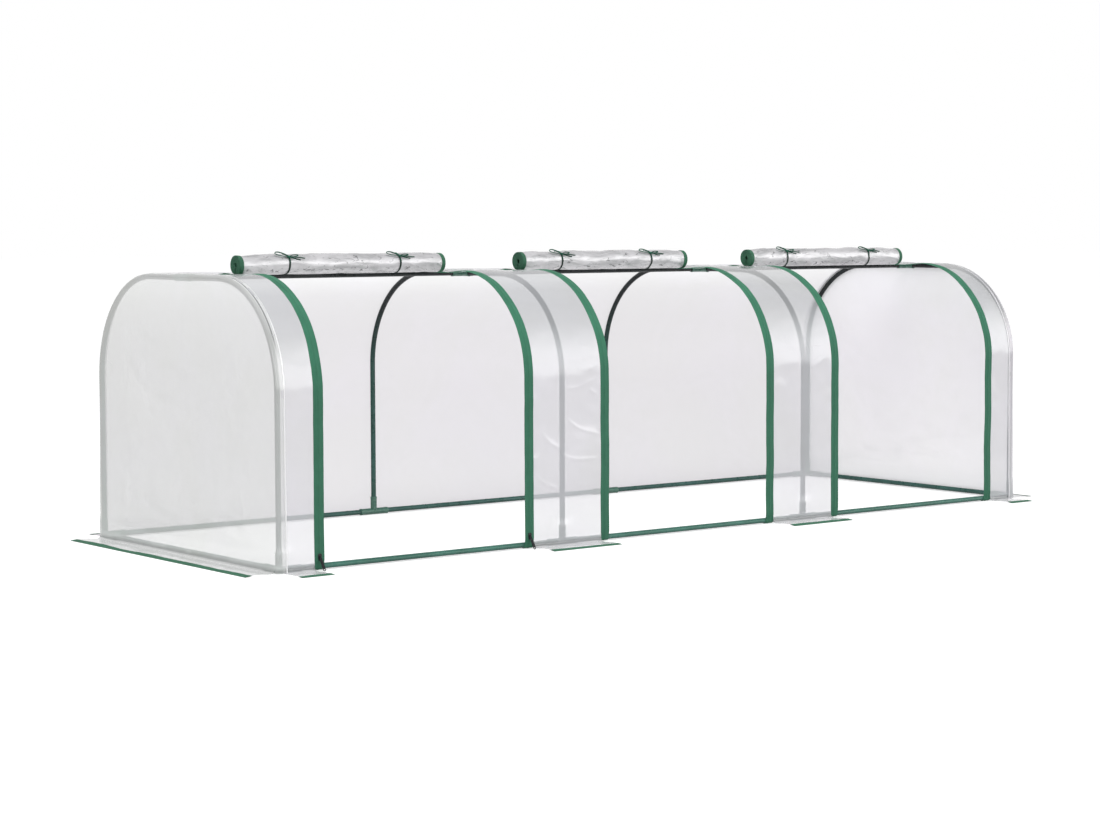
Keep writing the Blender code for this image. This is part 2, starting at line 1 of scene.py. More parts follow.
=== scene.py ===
"""The finishes of a tunnel greenhouse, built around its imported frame.

Metres, +Z up. X runs along the tunnel and the doors face -Y. Steel hoops stand in push-fit
connectors, a clear film cover with green taped edges is stretched over them, and three doors
are rolled up and tied along the ridge.
"""

from __future__ import annotations

import logging
import math
from collections.abc import Sequence
from dataclasses import dataclass
from enum import Enum
from typing import NamedTuple

import bmesh
import bpy
import numpy as np
from mathutils import Matrix, Vector

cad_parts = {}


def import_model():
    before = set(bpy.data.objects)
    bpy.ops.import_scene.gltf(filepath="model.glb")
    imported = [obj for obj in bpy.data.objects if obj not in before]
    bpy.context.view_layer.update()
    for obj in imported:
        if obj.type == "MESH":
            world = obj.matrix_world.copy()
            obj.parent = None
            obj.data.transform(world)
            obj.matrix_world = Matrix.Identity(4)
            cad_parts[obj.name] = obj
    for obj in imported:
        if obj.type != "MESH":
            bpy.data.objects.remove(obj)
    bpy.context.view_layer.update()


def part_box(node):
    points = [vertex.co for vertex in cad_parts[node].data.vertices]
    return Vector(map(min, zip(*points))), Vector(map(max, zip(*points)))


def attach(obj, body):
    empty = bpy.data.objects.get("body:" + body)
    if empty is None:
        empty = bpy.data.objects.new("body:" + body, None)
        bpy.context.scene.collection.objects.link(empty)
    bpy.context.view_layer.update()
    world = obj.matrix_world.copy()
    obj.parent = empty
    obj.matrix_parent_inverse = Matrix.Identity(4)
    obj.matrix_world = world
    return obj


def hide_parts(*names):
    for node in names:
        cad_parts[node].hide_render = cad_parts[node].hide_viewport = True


Array = np.ndarray
Material = bpy.types.Material
Mesh = bpy.types.Mesh
Piece = bpy.types.Object
Socket = bpy.types.NodeSocket
Pair = tuple[float, float]
Triple = tuple[float, float, float]
Colour = Triple
Tones = tuple[tuple[float, Colour], ...]

LOG = logging.getLogger("greenhouse")
TONE_TOP = 0.90
TURN = 2 * math.pi
QUARTER = math.pi / 2
X_AXIS = Vector((1.0, 0.0, 0.0))
Y_AXIS = Vector((0.0, 1.0, 0.0))
Z_AXIS = Vector((0.0, 0.0, 1.0))


class Way(Enum):
    """One of two opposite ways, by the sign of their coordinate."""

    @property
    def word(self) -> str:
        """The name in lower case, as the frame's nodes spell it."""
        return self.name.lower()

    def pick(self, first: object, second: object) -> object:
        """The first of two for the front or left, and else the second."""
        return first if self.value < 0 else second


class Side(Way):
    """The long sides of the tunnel, by the sign of their Y."""

    FRONT = -1
    REAR = 1


class End(Way):
    """The ends of the tunnel, or of a door, by the sign of their X."""

    LEFT = -1
    RIGHT = 1


class Slot(Enum):
    """The record's material slots."""

    STEEL = "steel_tube"
    CONNECTOR = "connector"
    FILM = "clear_film"
    ROLLED_FILM = "rolled_film"
    TAPE = "green_tape"
    METAL = "zip_metal"


# Finishes


def grey(level: float) -> Colour:
    """A faintly cool grey."""
    return level, level * 0.992, level * 1.024


def tinted(level: float) -> Colour:
    """A grey that makes up for the mauve of the film behind it."""
    return level, level * 1.02, level * 0.99


def scaled(colour: Colour, factor: float) -> Colour:
    """A colour made lighter or darker."""
    return tuple(factor * part for part in colour)


class Graph:
    """The node tree of a material or of the world, with short calls that add nodes and join them."""

    def __init__(self, name: str, world: bool = False) -> None:
        """Start a material with one Principled shader, or a world with one Background.

        Args:
            name: What it is called.
            world: Whether it is a world.
        """
        self.owner = (bpy.data.worlds if world else bpy.data.materials).new(name)
        self.owner.use_nodes = True
        self.tree = self.owner.node_tree
        self.shader = self.tree.nodes["Background" if world else "Principled BSDF"]

    def node(self, kind: str, inputs: dict | None = None, **settings: object) -> bpy.types.Node:
        """Add a node, set its properties and feed its inputs.

        Args:
            kind: The node's type without its ShaderNode prefix.
            inputs: Values or output sockets, by input name or number.
            settings: Properties of the node itself.

        Returns:
            The new node.
        """
        node = self.tree.nodes.new("ShaderNode" + kind)
        for key, value in settings.items():
            setattr(node, key, value)
        for key, value in (inputs or {}).items():
            self.feed(node.inputs[key], value)
        return node

    def feed(self, socket: Socket, value: object) -> None:
        """Link a socket to another one, or give it a constant.

        Args:
            socket: The input to feed.
            value: An output socket, a number or a colour.
        """
        if isinstance(value, Socket):
            self.tree.links.new(value, socket)
        elif isinstance(value, tuple) and len(value) == 3 and len(socket.default_value) == 4:
            socket.default_value = (*value, 1.0)
        else:
            socket.default_value = value

    def set(self, **values: object) -> None:
        """Feed the shader, with its input names written with underscores."""
        for key, value in values.items():
            self.feed(self.shader.inputs[key.replace("_", " ")], value)

    def let_through(self, colour: object, alpha: object, share: float) -> None:
        """Let the light that falls on the far side show too, as thin hazy film does.

        Args:
            colour: The film's colour.
            alpha: How much of what is behind it the film covers.
            share: How much of the film's own brightness comes from its far side.
        """
        clear = self.node("BsdfTransparent").outputs["BSDF"]
        lit = self.node("BsdfTranslucent", {"Color": colour}).outputs["BSDF"]
        hazy = self.node("MixShader", {0: alpha, 1: clear, 2: lit}).outputs["Shader"]
        both = self.node("MixShader", {0: share, 1: self.shader.outputs["BSDF"], 2: hazy}).outputs["Shader"]
        self.feed(self.tree.nodes["Material Output"].inputs["Surface"], both)

    def metres(self) -> Socket:
        """The place in the frame's own metres."""
        return self.node("TexCoord").outputs["Object"]

    def axes(self, vector: Socket) -> bpy.types.NodeOutputs:
        """A vector's X, Y and Z, by name."""
        return self.node("SeparateXYZ", {"Vector": vector}).outputs

    def noise(self, vector: object, scale: float, detail: float = 3.0, rough: float = 0.55,
              distortion: float = 0.0) -> Socket:
        """Soft noise between 0 and 1.

        Args:
            vector: Where it is read.
            scale: Cells per metre.
            detail: Octaves.
            rough: Share kept by each octave.
            distortion: How far the cells are dragged about.

        Returns:
            The noise's value.
        """
        inputs = {"Vector": vector, "Scale": scale, "Detail": detail, "Roughness": rough, "Distortion": distortion}
        return self.node("TexNoise", inputs).outputs["Fac"]

    def creases(self, vector: Socket, scale: float, drag: float, drag_scale: float, detail: float = 2.0) -> Socket:
        """A net of creases, as the distance to the nearest edge between random cells.

        Args:
            vector: Where it is read.
            scale: Cells per metre.
            drag: How far noise drags the cells about, from 0 to 1.
            drag_scale: That noise's cells per metre.
            detail: That noise's octaves.

        Returns:
            The distance, in cells.
        """
        drift = self.node("TexNoise", {"Vector": vector, "Scale": drag_scale, "Detail": detail}).outputs["Color"]
        dragged = self.node("MixRGB", {"Fac": drag, "Color1": vector, "Color2": drift}).outputs["Color"]
        cells = self.node("TexVoronoi", {"Vector": dragged, "Scale": scale}, feature="DISTANCE_TO_EDGE")
        return cells.outputs["Distance"]

    def maths(self, operation: str, first: object, second: object = 0.0, third: object = 0.0,
              clamp: bool = False) -> Socket:
        """One sum on up to three values.

        Args:
            operation: The Math node's operation.
            first: The first value or socket.
            second: The second value or socket.
            third: The third value or socket.
            clamp: Whether the result is kept between 0 and 1.

        Returns:
            The result.
        """
        return self.node("Math", {0: first, 1: second, 2: third}, operation=operation, use_clamp=clamp).outputs[0]

    def product(self, first: object, second: object) -> Socket:
        """Two values multiplied."""
        return self.maths("MULTIPLY", first, second)

    def most(self, first: object, second: object) -> Socket:
        """The larger of two values."""
        return self.maths("MAXIMUM", first, second)

    def away(self, value: object, middle: float) -> Socket:
        """How far a value is from a middle one, on either side."""
        return self.maths("ABSOLUTE", self.maths("SUBTRACT", value, middle))

    def spread(self, value: object, low: float, high: float, to_low: object = 0.0, to_high: object = 1.0,
               kind: str = "SMOOTHSTEP") -> Socket:
        """Map a value from one range to another without passing its ends.

        Args:
            value: The value to map.
            low: Where the first range starts.
            high: Where the first range ends.
            to_low: What low becomes.
            to_high: What high becomes.
            kind: The curve between them.

        Returns:
            The mapped value.
        """
        inputs = {"Value": value, "From Min": low, "From Max": high, "To Min": to_low, "To Max": to_high}
        return self.node("MapRange", inputs, interpolation_type=kind).outputs["Result"]

    def blend(self, share: object, first: object, second: object, kind: str = "MIX") -> Socket:
        """Two colours put together.

        Args:
            share: How much of the second counts.
            first: The first colour or socket.
            second: The second colour or socket.
            kind: How the second works on the first.

        Returns:
            The colour.
        """
        inputs = {"Factor": share, 6: first, 7: second}
        return self.node("Mix", inputs, data_type="RGBA", blend_type=kind).outputs[2]

    def by_height(self, stops: Tones) -> Socket:
        """A colour that changes with the height above the ground.

        Args:
            stops: Each stop's height and colour, from the ground up.

        Returns:
            The colour.
        """
        height = self.axes(self.metres())["Z"]
        node = self.node("ValToRGB", {"Fac": self.maths("DIVIDE", height, TONE_TOP)})
        elements = node.color_ramp.elements
        while len(elements) < len(stops):
            elements.new(1.0)
        for element, (place, colour) in zip(elements, stops):
            element.position = place / TONE_TOP
            element.color = (*colour, 1.0)
        return node.outputs["Color"]

    def relief(self, height: object, distance: float, strength: float = 1.0, over: object = None) -> Socket:
        """Bump from a height between 0 and 1.

        Args:
            height: The height.
            distance: What a height of 1 is in metres.
            strength: How much of it is used.
            over: A normal that it lies on.

        Returns:
            The new normal.
        """
        inputs = {"Height": height, "Distance": distance, "Strength": strength}
        if over is not None:
            inputs["Normal"] = over
        return self.node("Bump", inputs).outputs["Normal"]

    def wave(self, coordinate: object, pitch: float) -> Socket:
        """A sine between 0 and 1 along one coordinate, with the given pitch in metres."""
        return self.maths("MULTIPLY_ADD", self.maths("SINE", self.product(coordinate, TURN / pitch)), 0.5, 0.5)


@dataclass(frozen=True)
class CoatedSteel:
    """Thin steel tube in a green coat, with orange peel, dull patches and fine scuffs, and painted light and shade:
    painted highlights on the rail tops and the front rails, painted shade under the rails and on the bends.
    """

    name: str = "coated steel"
    # Painted light and shade by height: lighter on the rail tops, darker under the rails and darker towards the bends
    # at the top.
    tones: Tones = ((0.0, (0.019, 0.062, 0.050)), (0.005, (0.021, 0.066, 0.054)), (0.011, (0.031, 0.092, 0.075)),
                    (0.04, (0.024, 0.078, 0.062)), (0.12, (0.022, 0.072, 0.058)), (0.30, (0.016, 0.056, 0.046)),
                    (0.46, (0.014, 0.051, 0.041)), (0.58, (0.010, 0.029, 0.025)), (0.68, (0.007, 0.011, 0.0115)),
                    (0.81, (0.009, 0.012, 0.0125)))
    # Painted light: the front rails are painted lighter than the rear ones.
    front_rail_painted_light: Colour = (0.040, 0.132, 0.098)
    scuff: Colour = (0.070, 0.140, 0.112)
    patchy: float = 1.35
    roughness: float = 0.30

    def build(self) -> Material:
        """Make the material.

        Returns:
            The finished material.
        """
        graph = Graph(self.name)
        place = graph.metres()
        axes = graph.axes(place)
        # Mask of the front rails, which get the painted light.
        rails = graph.product(graph.spread(axes["Z"], 0.003, 0.010), graph.spread(axes["Z"], 0.02, 0.05, 1.0, 0.0))
        front = graph.product(rails, graph.spread(axes["Y"], -0.45, -0.40, 1.0, 0.0))
        # The coat's colour with its painted light and shade.
        painted_tone = graph.blend(front, graph.by_height(self.tones), self.front_rail_painted_light)
        patches = graph.spread(graph.noise(place, 11.0, 4.0), 0.35, 0.7)
        scuffs = graph.spread(graph.noise(place, 160.0, 5.0, 0.7, 0.6), 0.66, 0.74, 0.0, 0.25)
        rough = graph.spread(graph.noise(place, 40.0, 3.0), 0.3, 0.7, self.roughness - 0.07, self.roughness + 0.1)
        patched = graph.blend(patches, painted_tone, grey(self.patchy), "MULTIPLY")
        graph.set(Base_Color=graph.blend(scuffs, patched, self.scuff), Roughness=rough, Specular_IOR_Level=0.28,
                  Normal=graph.relief(graph.noise(place, 900.0, 2.0), 0.00008, 0.6))
        return graph.owner


@dataclass(frozen=True)
class MouldedPlastic:
    """Injection-moulded connectors: a spark-grained skin, flow marks and paler rubbed patches."""

    name: str = "moulded plastic"
    colour: Colour = (0.040, 0.122, 0.088)
    pale: Colour = (0.075, 0.180, 0.132)
    rubbed: Colour = (0.16, 0.27, 0.21)
    roughness: float = 0.34

    def build(self) -> Material:
        """Make the material.

        Returns:
            The finished material.
        """
        graph = Graph(self.name)
        place = graph.metres()
        flow = graph.noise(place, 60.0, 4.0, 0.5, 1.4)
        colour = graph.blend(graph.spread(flow, 0.35, 0.72), self.colour, self.pale)
        worn = graph.spread(graph.noise(place, 240.0, 4.0, 0.65), 0.62, 0.75, 0.0, 0.3)
        graph.set(Base_Color=graph.blend(worn, colour, self.rubbed),
                  Roughness=graph.spread(flow, 0.3, 0.7, self.roughness + 0.1, self.roughness - 0.05),
                  Normal=graph.relief(graph.noise(place, 2200.0, 2.0), 0.00006, 0.7))
        return graph.owner


@dataclass(frozen=True)
class ClearFilm:
    """Milky clear film: less than half of what is behind shows, with soft haze, a white seam and scuffed creases,
    painted light and shade by height, and a painted shadow line beside the seam on the bends.
    """

    name: str
    # Painted light and shade by height, from the ground up to the roof.
    tones: Tones
    cover: float = 0.61
    grazing_cover: float = 0.16
    shade: float = 0.14
    roughness: float = 0.10
    gloss: float = 0.8
    coat_roughness: float = 0.08
    crinkle: float = 0.0010
    wear: float = 0.17
    through: float = 0.0
    seam_x: float = 9.0
    seam_half: float = 0.0016
    seam_top: Pair = (0.66, 0.73)
    # The painted shadow line beside the seam: the heights where it fades in, and how far out from the seam it runs.
    shadow_line_foot: Pair = (0.58, 0.66)
    shadow_line_in: float = 0.010
    scuffed: Colour = (0.93, 0.93, 0.94)
    # Dark colour of the painted shadow line beside the seam.
    folded: Colour = (0.12, 0.13, 0.13)

    def build(self) -> Material:
        """Make the material.

        Returns:
            The finished material.
        """
        graph = Graph(self.name)
        place = graph.metres()
        axes = graph.axes(place)
        from_middle = graph.maths("ABSOLUTE", axes["X"])

        def line(x: float, inner: float, outer: float, full: float) -> Socket:
            """A line across the tunnel, with its half width's share that is full and where it ends."""
            return graph.spread(graph.away(from_middle, x), self.seam_half * inner, self.seam_half * outer, full, 0.0)

        haze = graph.spread(graph.noise(place, 3.2, 4.0, 0.5, 0.6), 0.32, 0.72)
        net = graph.spread(graph.creases(place, 6.5, 0.16, 5.0, 3.0), 0.0, 0.013, 1.0, 0.0)
        broken = graph.product(net, graph.spread(graph.noise(place, 7.0), 0.64, 0.70))
        seam = graph.product(line(self.seam_x, 0.7, 1.5, 1.0), graph.spread(axes["Z"], *self.seam_top, 1.0, 0.0))
        # fold: a painted shadow line along the tube's edge beside the seam on the bends; it also makes the film more
        # opaque there.
        fold = graph.product(line(self.seam_x + self.shadow_line_in, 1.1, 1.9, 0.85), graph.spread(axes["Z"], *self.shadow_line_foot))
        marks = graph.most(graph.product(broken, self.wear), seam)
        facing = graph.node("LayerWeight", {"Blend": 0.5}).outputs["Facing"]
        thick = graph.maths("MULTIPLY_ADD", graph.maths("POWER", facing, 2.2), self.grazing_cover, self.cover)
        cloudy = graph.maths("MULTIPLY_ADD", haze, 0.025, thick)
        lines = graph.most(marks, graph.product(fold, 0.6))
        marked = graph.maths("MULTIPLY_ADD", lines, 0.38, cloudy, clamp=True)
        shadow = graph.node("LightPath").outputs["Is Shadow Ray"]
        alpha = graph.maths("MULTIPLY_ADD", graph.product(shadow, self.shade - 1.0), marked, marked)
        # Painted light and shade by height, under the random haze.
        painted_tone = graph.blend(haze, graph.by_height(self.tones), grey(1.04), "MULTIPLY")
        # White scuffs and seam, then the painted shadow line in its dark colour.
        colour = graph.blend(fold, graph.blend(graph.product(marks, 0.85), painted_tone, self.scuffed), self.folded)
        if self.through:
            graph.let_through(colour, alpha, self.through)
        soft = graph.relief(graph.noise(place, 9.0, 2.0, 0.5, 0.8), self.crinkle * 2, 0.5)
        graph.set(Base_Color=colour, Alpha=alpha, IOR=1.5, Coat_Weight=self.gloss, Coat_Roughness=self.coat_roughness,
                  Roughness=graph.spread(haze, 0.0, 1.0, self.roughness, self.roughness + 0.08),
                  Normal=graph.relief(broken, self.crinkle, 0.5, over=soft))
        return graph.owner


@dataclass(frozen=True)
class RolledFilm:
    """Many turns of film on each other: silvery, glossy and sharply crinkled, with painted shade in dark crinkle marks
    and crease lines, more painted shade along its underside, and painted highlights along its creases.
    """

    name: str = "rolled film"
    colour: Colour = (0.42, 0.42, 0.43)
    pale: Colour = (0.64, 0.63, 0.65)
    # Colour of the painted shade in the crinkles.
    dark: Colour = (0.055, 0.055, 0.06)
    roughness: float = 0.15
    stretch: float = 0.30
    # Heights below which painted shade gathers along the roll's underside.
    underside_painted_shade: Pair = (0.818, 0.834)

    def build(self) -> Material:
        """Make the material.

        Returns:
            The finished material.
        """
        graph = Graph(self.name)
        place = graph.metres()
        long = graph.node("Mapping", {"Vector": place, "Scale": (self.stretch, 1.0, 1.0)}).outputs["Vector"]
        blotches = graph.noise(long, 26.0, 4.0, 0.55, 1.0)
        creases = graph.creases(long, 30.0, 0.05, 20.0)
        # Dark streaks, specks and crease lines: painted shade in the crumpled film, with more of it painted along the
        # underside.
        streaks = graph.spread(graph.noise(long, 62.0, 4.0, 0.6, 2.2), 0.65, 0.69)
        low = graph.spread(graph.axes(place)["Z"], *self.underside_painted_shade, 0.11, 0.0)
        shadows = graph.spread(graph.maths("ADD", graph.noise(long, 75.0, 4.0, 0.62, 2.0), low), 0.675, 0.72)
        painted_crease_shade = graph.product(graph.spread(graph.creases(long, 46.0, 0.08, 20.0), 0.0, 0.045, 1.0, 0.0),
                             graph.spread(graph.noise(place, 38.0, 2.0), 0.58, 0.64))
        dark = graph.product(graph.most(graph.most(streaks, shadows), painted_crease_shade), 0.80)
        colour = graph.blend(graph.spread(blotches, 0.34, 0.62), self.colour, self.pale)
        shaded = graph.blend(dark, colour, self.dark)
        # Painted highlights along the creases.
        colour = graph.blend(graph.spread(creases, 0.0, 0.06, 0.40, 0.0), shaded, self.pale)
        facets = graph.relief(graph.spread(creases, 0.0, 0.5), 0.0028, 0.8)
        graph.set(Base_Color=colour, IOR=1.5, Specular_IOR_Level=0.8, Coat_Weight=1.0, Coat_Roughness=0.08,
                  Roughness=graph.spread(blotches, 0.3, 0.7, self.roughness + 0.12, self.roughness - 0.04),
                  Normal=graph.relief(graph.noise(long, 34.0, 4.0, 0.55, 1.0), 0.0050, 0.85, over=facets))
        return graph.owner


@dataclass(frozen=True)
class GreenTape:
    """Woven polyester tape: ribs, a fine weave, rows of stitches and a soft sheen, with painted light and shade by
    height where it is given.
    """

    name: str
    colour: Colour = (0.030, 0.132, 0.074)
    pale: Colour = (0.042, 0.165, 0.094)
    sheen: Colour = (0.45, 0.75, 0.58)
    width: float = 0.033
    stitch_rows: tuple[float, ...] = ()
    coil_half: float = 0.0
    # Painted light and shade by height, if any.
    tones: Tones = ()

    def build(self) -> Material:
        """Make the material.

        Returns:
            The finished material.
        """
        graph = Graph(self.name)
        place = graph.metres()
        cloth = graph.axes(graph.node("UVMap", uv_map="Cut").outputs["UV"])
        along, across = cloth["X"], cloth["Y"]
        weave = graph.product(graph.wave(along, 0.0011), graph.wave(across, 0.0008))
        faded = graph.spread(graph.noise(place, 14.0, 4.0, 0.6), 0.3, 0.72)
        colour = graph.blend(faded, self.colour, self.pale)
        colour = graph.blend(graph.product(weave, 0.24), colour, scaled(self.colour, 0.62))
        height = graph.product(weave, 0.25)
        if self.coil_half:
            coil = graph.spread(graph.away(across, self.width / 2), self.coil_half * 0.85, self.coil_half, 1.0, 0.0)
            turns = graph.product(graph.wave(along, 0.0019), coil)
            height = graph.maths("MULTIPLY_ADD", turns, 0.6, height)
            colour = graph.blend(graph.product(turns, 0.12), colour, scaled(self.colour, 0.55))
        for row in self.stitch_rows:
            line = graph.spread(graph.away(across, row), 0.00025, 0.0005, 1.0, 0.0)
            stitch = graph.product(line, graph.spread(graph.wave(along, 0.0036), 0.18, 0.4))
            height = graph.maths("MULTIPLY_ADD", stitch, 0.9, height)
            colour = graph.blend(graph.product(stitch, 0.4), colour, scaled(self.pale, 1.4))
        # Painted light and shade by height, then brightened to make up for the ramp's darkening.
        if self.tones:
            shaded = graph.blend(1.0, colour, graph.by_height(self.tones), "MULTIPLY")
            colour = graph.blend(1.0, shaded, grey(1.4), "MULTIPLY")
        fluff = graph.relief(graph.noise(place, 1500.0, 2.0), 0.00005, 0.5)
        graph.set(Base_Color=colour, Roughness=graph.spread(faded, 0.0, 1.0, 0.66, 0.78), Specular_IOR_Level=0.25,
                  Sheen_Weight=0.08, Sheen_Roughness=0.5, Sheen_Tint=self.sheen,
                  Normal=graph.relief(height, 0.0005, 0.8, over=fluff))
        return graph.owner


@dataclass(frozen=True)
class ZipMetal:
    """Black enamelled zip metal, rubbed bare in places."""

    name: str = "zip metal"
    colour: Colour = (0.007, 0.008, 0.009)
    bare: Colour = (0.30, 0.30, 0.31)

    def build(self) -> Material:
        """Make the material.

        Returns:
            The finished material.
        """
        graph = Graph(self.name)
        place = graph.metres()
        rubbed = graph.spread(graph.noise(place, 420.0, 5.0, 0.7), 0.64, 0.74, 0.0, 0.35)
        graph.set(Base_Color=graph.blend(rubbed, self.colour, self.bare), Metallic=graph.product(rubbed, 0.9),
                  Roughness=graph.spread(graph.noise(place, 150.0, 3.0), 0.3, 0.7, 0.30, 0.48),
                  Specular_IOR_Level=0.30, Normal=graph.relief(graph.noise(place, 2600.0, 2.0), 0.00005, 0.6))
        return graph.owner


# Meshes


def metres_along(points: Array) -> Array:
    """How far along a line each of its points is."""
    return np.concatenate([[0.0], np.cumsum(np.linalg.norm(np.diff(points, axis=0), axis=1))])


def crossed(first: Array, second: Array) -> list[Array]:
    """Two rows of values as the rows and columns of a grid."""
    return np.meshgrid(first, second, indexing="ij")


def stations(places: Sequence[float], counts: Sequence[int]) -> Array:
    """Points at even steps from each place to the next.

    Args:
        places: Where each stretch starts and ends.
        counts: How many points each stretch gets, with both its ends.

    Returns:
        The points in order, each once.
    """
    stretches = [np.linspace(start, end, count) for start, end, count in zip(places, places[1:], counts)]
    return np.concatenate([stretches[0], *(stretch[1:] for stretch in stretches[1:])])


def grid_mesh(name: str, points: Array, cut: Array, closed: bool = False, capped: bool = False) -> Mesh:
    """Build a mesh from a grid of points.

    Args:
        name: What the mesh is called.
        points: Places, as rows by columns by three.
        cut: Metres along and across the flat cloth, as rows by columns by two. A closed grid has
            one more column here, for the seam.
        closed: Whether the last column joins the first.
        capped: Whether a closed grid's first and last rows are filled.

    Returns:
        The smooth-shaded mesh with a UV map called Cut.
    """
    rows, columns = points.shape[:2]
    row, column = (grid.ravel() for grid in crossed(np.arange(rows - 1), np.arange(columns if closed else columns - 1)))
    following = (column + 1) % columns
    polygons = np.stack([row * columns + column, row * columns + following,
                         (row + 1) * columns + following, (row + 1) * columns + column], axis=1).tolist()
    corners = [cut[row, column], cut[row, column + 1], cut[row + 1, column + 1], cut[row + 1, column]]
    spots = np.stack(corners, axis=1).reshape(-1, 2)
    if capped:
        polygons += [list(range(columns))[::-1], list(range((rows - 1) * columns, rows * columns))]
        spots = np.concatenate([spots, cut[0, :columns][::-1], cut[-1, :columns]])
    mesh = bpy.data.meshes.new(name)
    mesh.from_pydata(points.reshape(-1, 3).tolist(), [], polygons)
    mesh.uv_layers.new(name="Cut").data.foreach_set("uv", spots.astype(np.float32).ravel())
    mesh.shade_smooth()
    return mesh


def sweep_mesh(name: str, path: Array, across: Array, out: Array, section: Array, capped: bool = True) -> Mesh:
    """Carry a closed section along a path.

    Args:
        name: What the mesh is called.
        path: Points along the path, as rows of three.
        across: The direction of the section's first coordinate at each point.
        out: The direction of the section's second coordinate at each point.
        section: Points of the section, as rows of two, or one such set for each path point.
        capped: Whether the ends are filled.

    Returns:
        The mesh, whose UV map runs along the path and round the section in metres.
    """
    sections = np.broadcast_to(section, (len(path), *section.shape[-2:]))
    points = path[:, None] + across[:, None] * sections[..., :1] + out[:, None] * sections[..., 1:]
    ring = np.concatenate([sections[0], sections[0][:1]])
    cut = np.stack(crossed(metres_along(path), metres_along(ring)), axis=-1)
    mesh = grid_mesh(name, points, cut, closed=True, capped=capped)
    mesh.set_sharp_from_angle(angle=math.radians(50.0))
    return mesh


def joined(meshes: Sequence[Mesh]) -> bmesh.types.BMesh:
    """Put several meshes together and remove them.

    Args:
        meshes: The meshes.

    Returns:
        All of them as one, open for editing.
    """
    bm = bmesh.new()
    for mesh in meshes:
        bm.from_mesh(mesh)
        bpy.data.meshes.remove(mesh)
    return bm


def soften(vertices: Sequence[bmesh.types.BMVert]) -> None:
    """Shade the faces around some vertices smooth."""
    for face in {face for vertex in vertices for face in vertex.link_faces}:
        face.smooth = True


def in_order(bm: bmesh.types.BMesh) -> None:
    """Sort the faces by their corners, because a new sphere's come in another order on each run.

    Args:
        bm: The mesh that they are in.
    """
    bm.verts.index_update()
    faces = sorted(bm.faces, key=lambda face: sorted(vertex.index for vertex in face.verts))
    for index, face in enumerate(faces):
        face.index = index
    bm.faces.sort()


def finished(name: str, bm: bmesh.types.BMesh) -> Mesh:
    """Close an edited mesh.

    Args:
        name: What it is called.
        bm: The mesh that was edited.

    Returns:
        The plain mesh.
    """
    mesh = bpy.data.meshes.new(name)
    bm.to_mesh(mesh)
    bm.free()
    return mesh


def tangents(path: Array) -> Array:
    """Unit directions along a path of points."""
    step = np.gradient(path, axis=0)
    return step / np.linalg.norm(step, axis=1, keepdims=True)


def frames_along(path: Array, first: Sequence[float]) -> tuple[Array, Array]:
    """Carry a pair of directions along a curve without twist.

    Args:
        path: Points along the curve.
        first: The direction that the first of the pair starts close to.

    Returns:
        The two directions at each point, square to the curve and to each other.
    """
    ways = tangents(path)
    side = np.array(first, float)
    sides = []
    for way in ways:
        side = side - way * side.dot(way)
        side = side / np.linalg.norm(side)
        sides.append(side)
    sides = np.array(sides)
    return sides, np.cross(ways, sides)


def round_section(radius: float, sides: int = 28) -> Array:
    """A circle's points, as rows of two."""
    angle = TURN * np.arange(sides) / sides
    return np.stack([radius * np.cos(angle), radius * np.sin(angle)], axis=1)


def flat_section(width: float, thickness: float) -> Array:
    """Draw a tape's section with rounded edges.

    Args:
        width: The tape's width.
        thickness: Its thickness.

    Returns:
        The points from the top's left edge, as rows of two.
    """
    half, edge = width / 2, thickness / 2
    top = [(-half + edge, edge), (0.0, edge), (half - edge, edge), (half, 0.0)]
    return np.array(top + [(half - edge, -edge), (0.0, -edge), (-half + edge, -edge), (-half, 0.0)])


def smooth_curve(knots: Sequence[Sequence[float]], count: int) -> Array:
    """A smooth curve through some points.

    Args:
        knots: The points that it passes.
        count: How many points the curve gets.

    Returns:
        Points along the curve, as rows of three.
    """
    knots = np.array(knots, float)
    padded = np.concatenate([2 * knots[:1] - knots[1:2], knots, 2 * knots[-1:] - knots[-2:-1]])
    place = np.linspace(0, len(knots) - 1, count)
    index = np.minimum(place.astype(int), len(knots) - 2)
    share = (place - index)[:, None]
    p0, p1, p2, p3 = (padded[index + k] for k in range(4))
    return 0.5 * (2 * p1 + (p2 - p0) * share + (2 * p0 - 5 * p1 + 4 * p2 - p3) * share ** 2
                  + (3 * p1 - p0 - 3 * p2 + p3) * share ** 3)


def smooth_step(value: Array | float, low: float, high: float) -> Array:
    """0 below low, 1 above high, and an even rise between them."""
    share = np.clip((np.asarray(value, float) - low) / (high - low), 0.0, 1.0)
    return share * share * (3 - 2 * share)


class Fold(NamedTuple):
    """A sharp fold in a sheet, from one place on it to another."""

    start: Pair
    stop: Pair
    width: float
    height: float

    def rise(self, first: Array, second: Array) -> Array:
        """Find how far the sheet is raised, most of all halfway along the fold.

        Args:
            first: Places along the sheet's first direction.
            second: Places along its second direction.

        Returns:
            The rise, as a share of the fold's height.
        """
        way = np.array(self.stop) - np.array(self.start)
        span = float(np.hypot(*way))
        way = way / span
        along = (first - self.start[0]) * way[0] + (second - self.start[1]) * way[1]
        away = (first - self.start[0]) * way[1] - (second - self.start[1]) * way[0]
        away = away + 0.06 * span * np.sin(along / span * 5.0)
        ends = smooth_step(along, 0, 0.3 * span) * smooth_step(span - along, 0, 0.3 * span)
        return np.exp(-np.abs(away) / self.width) * ends


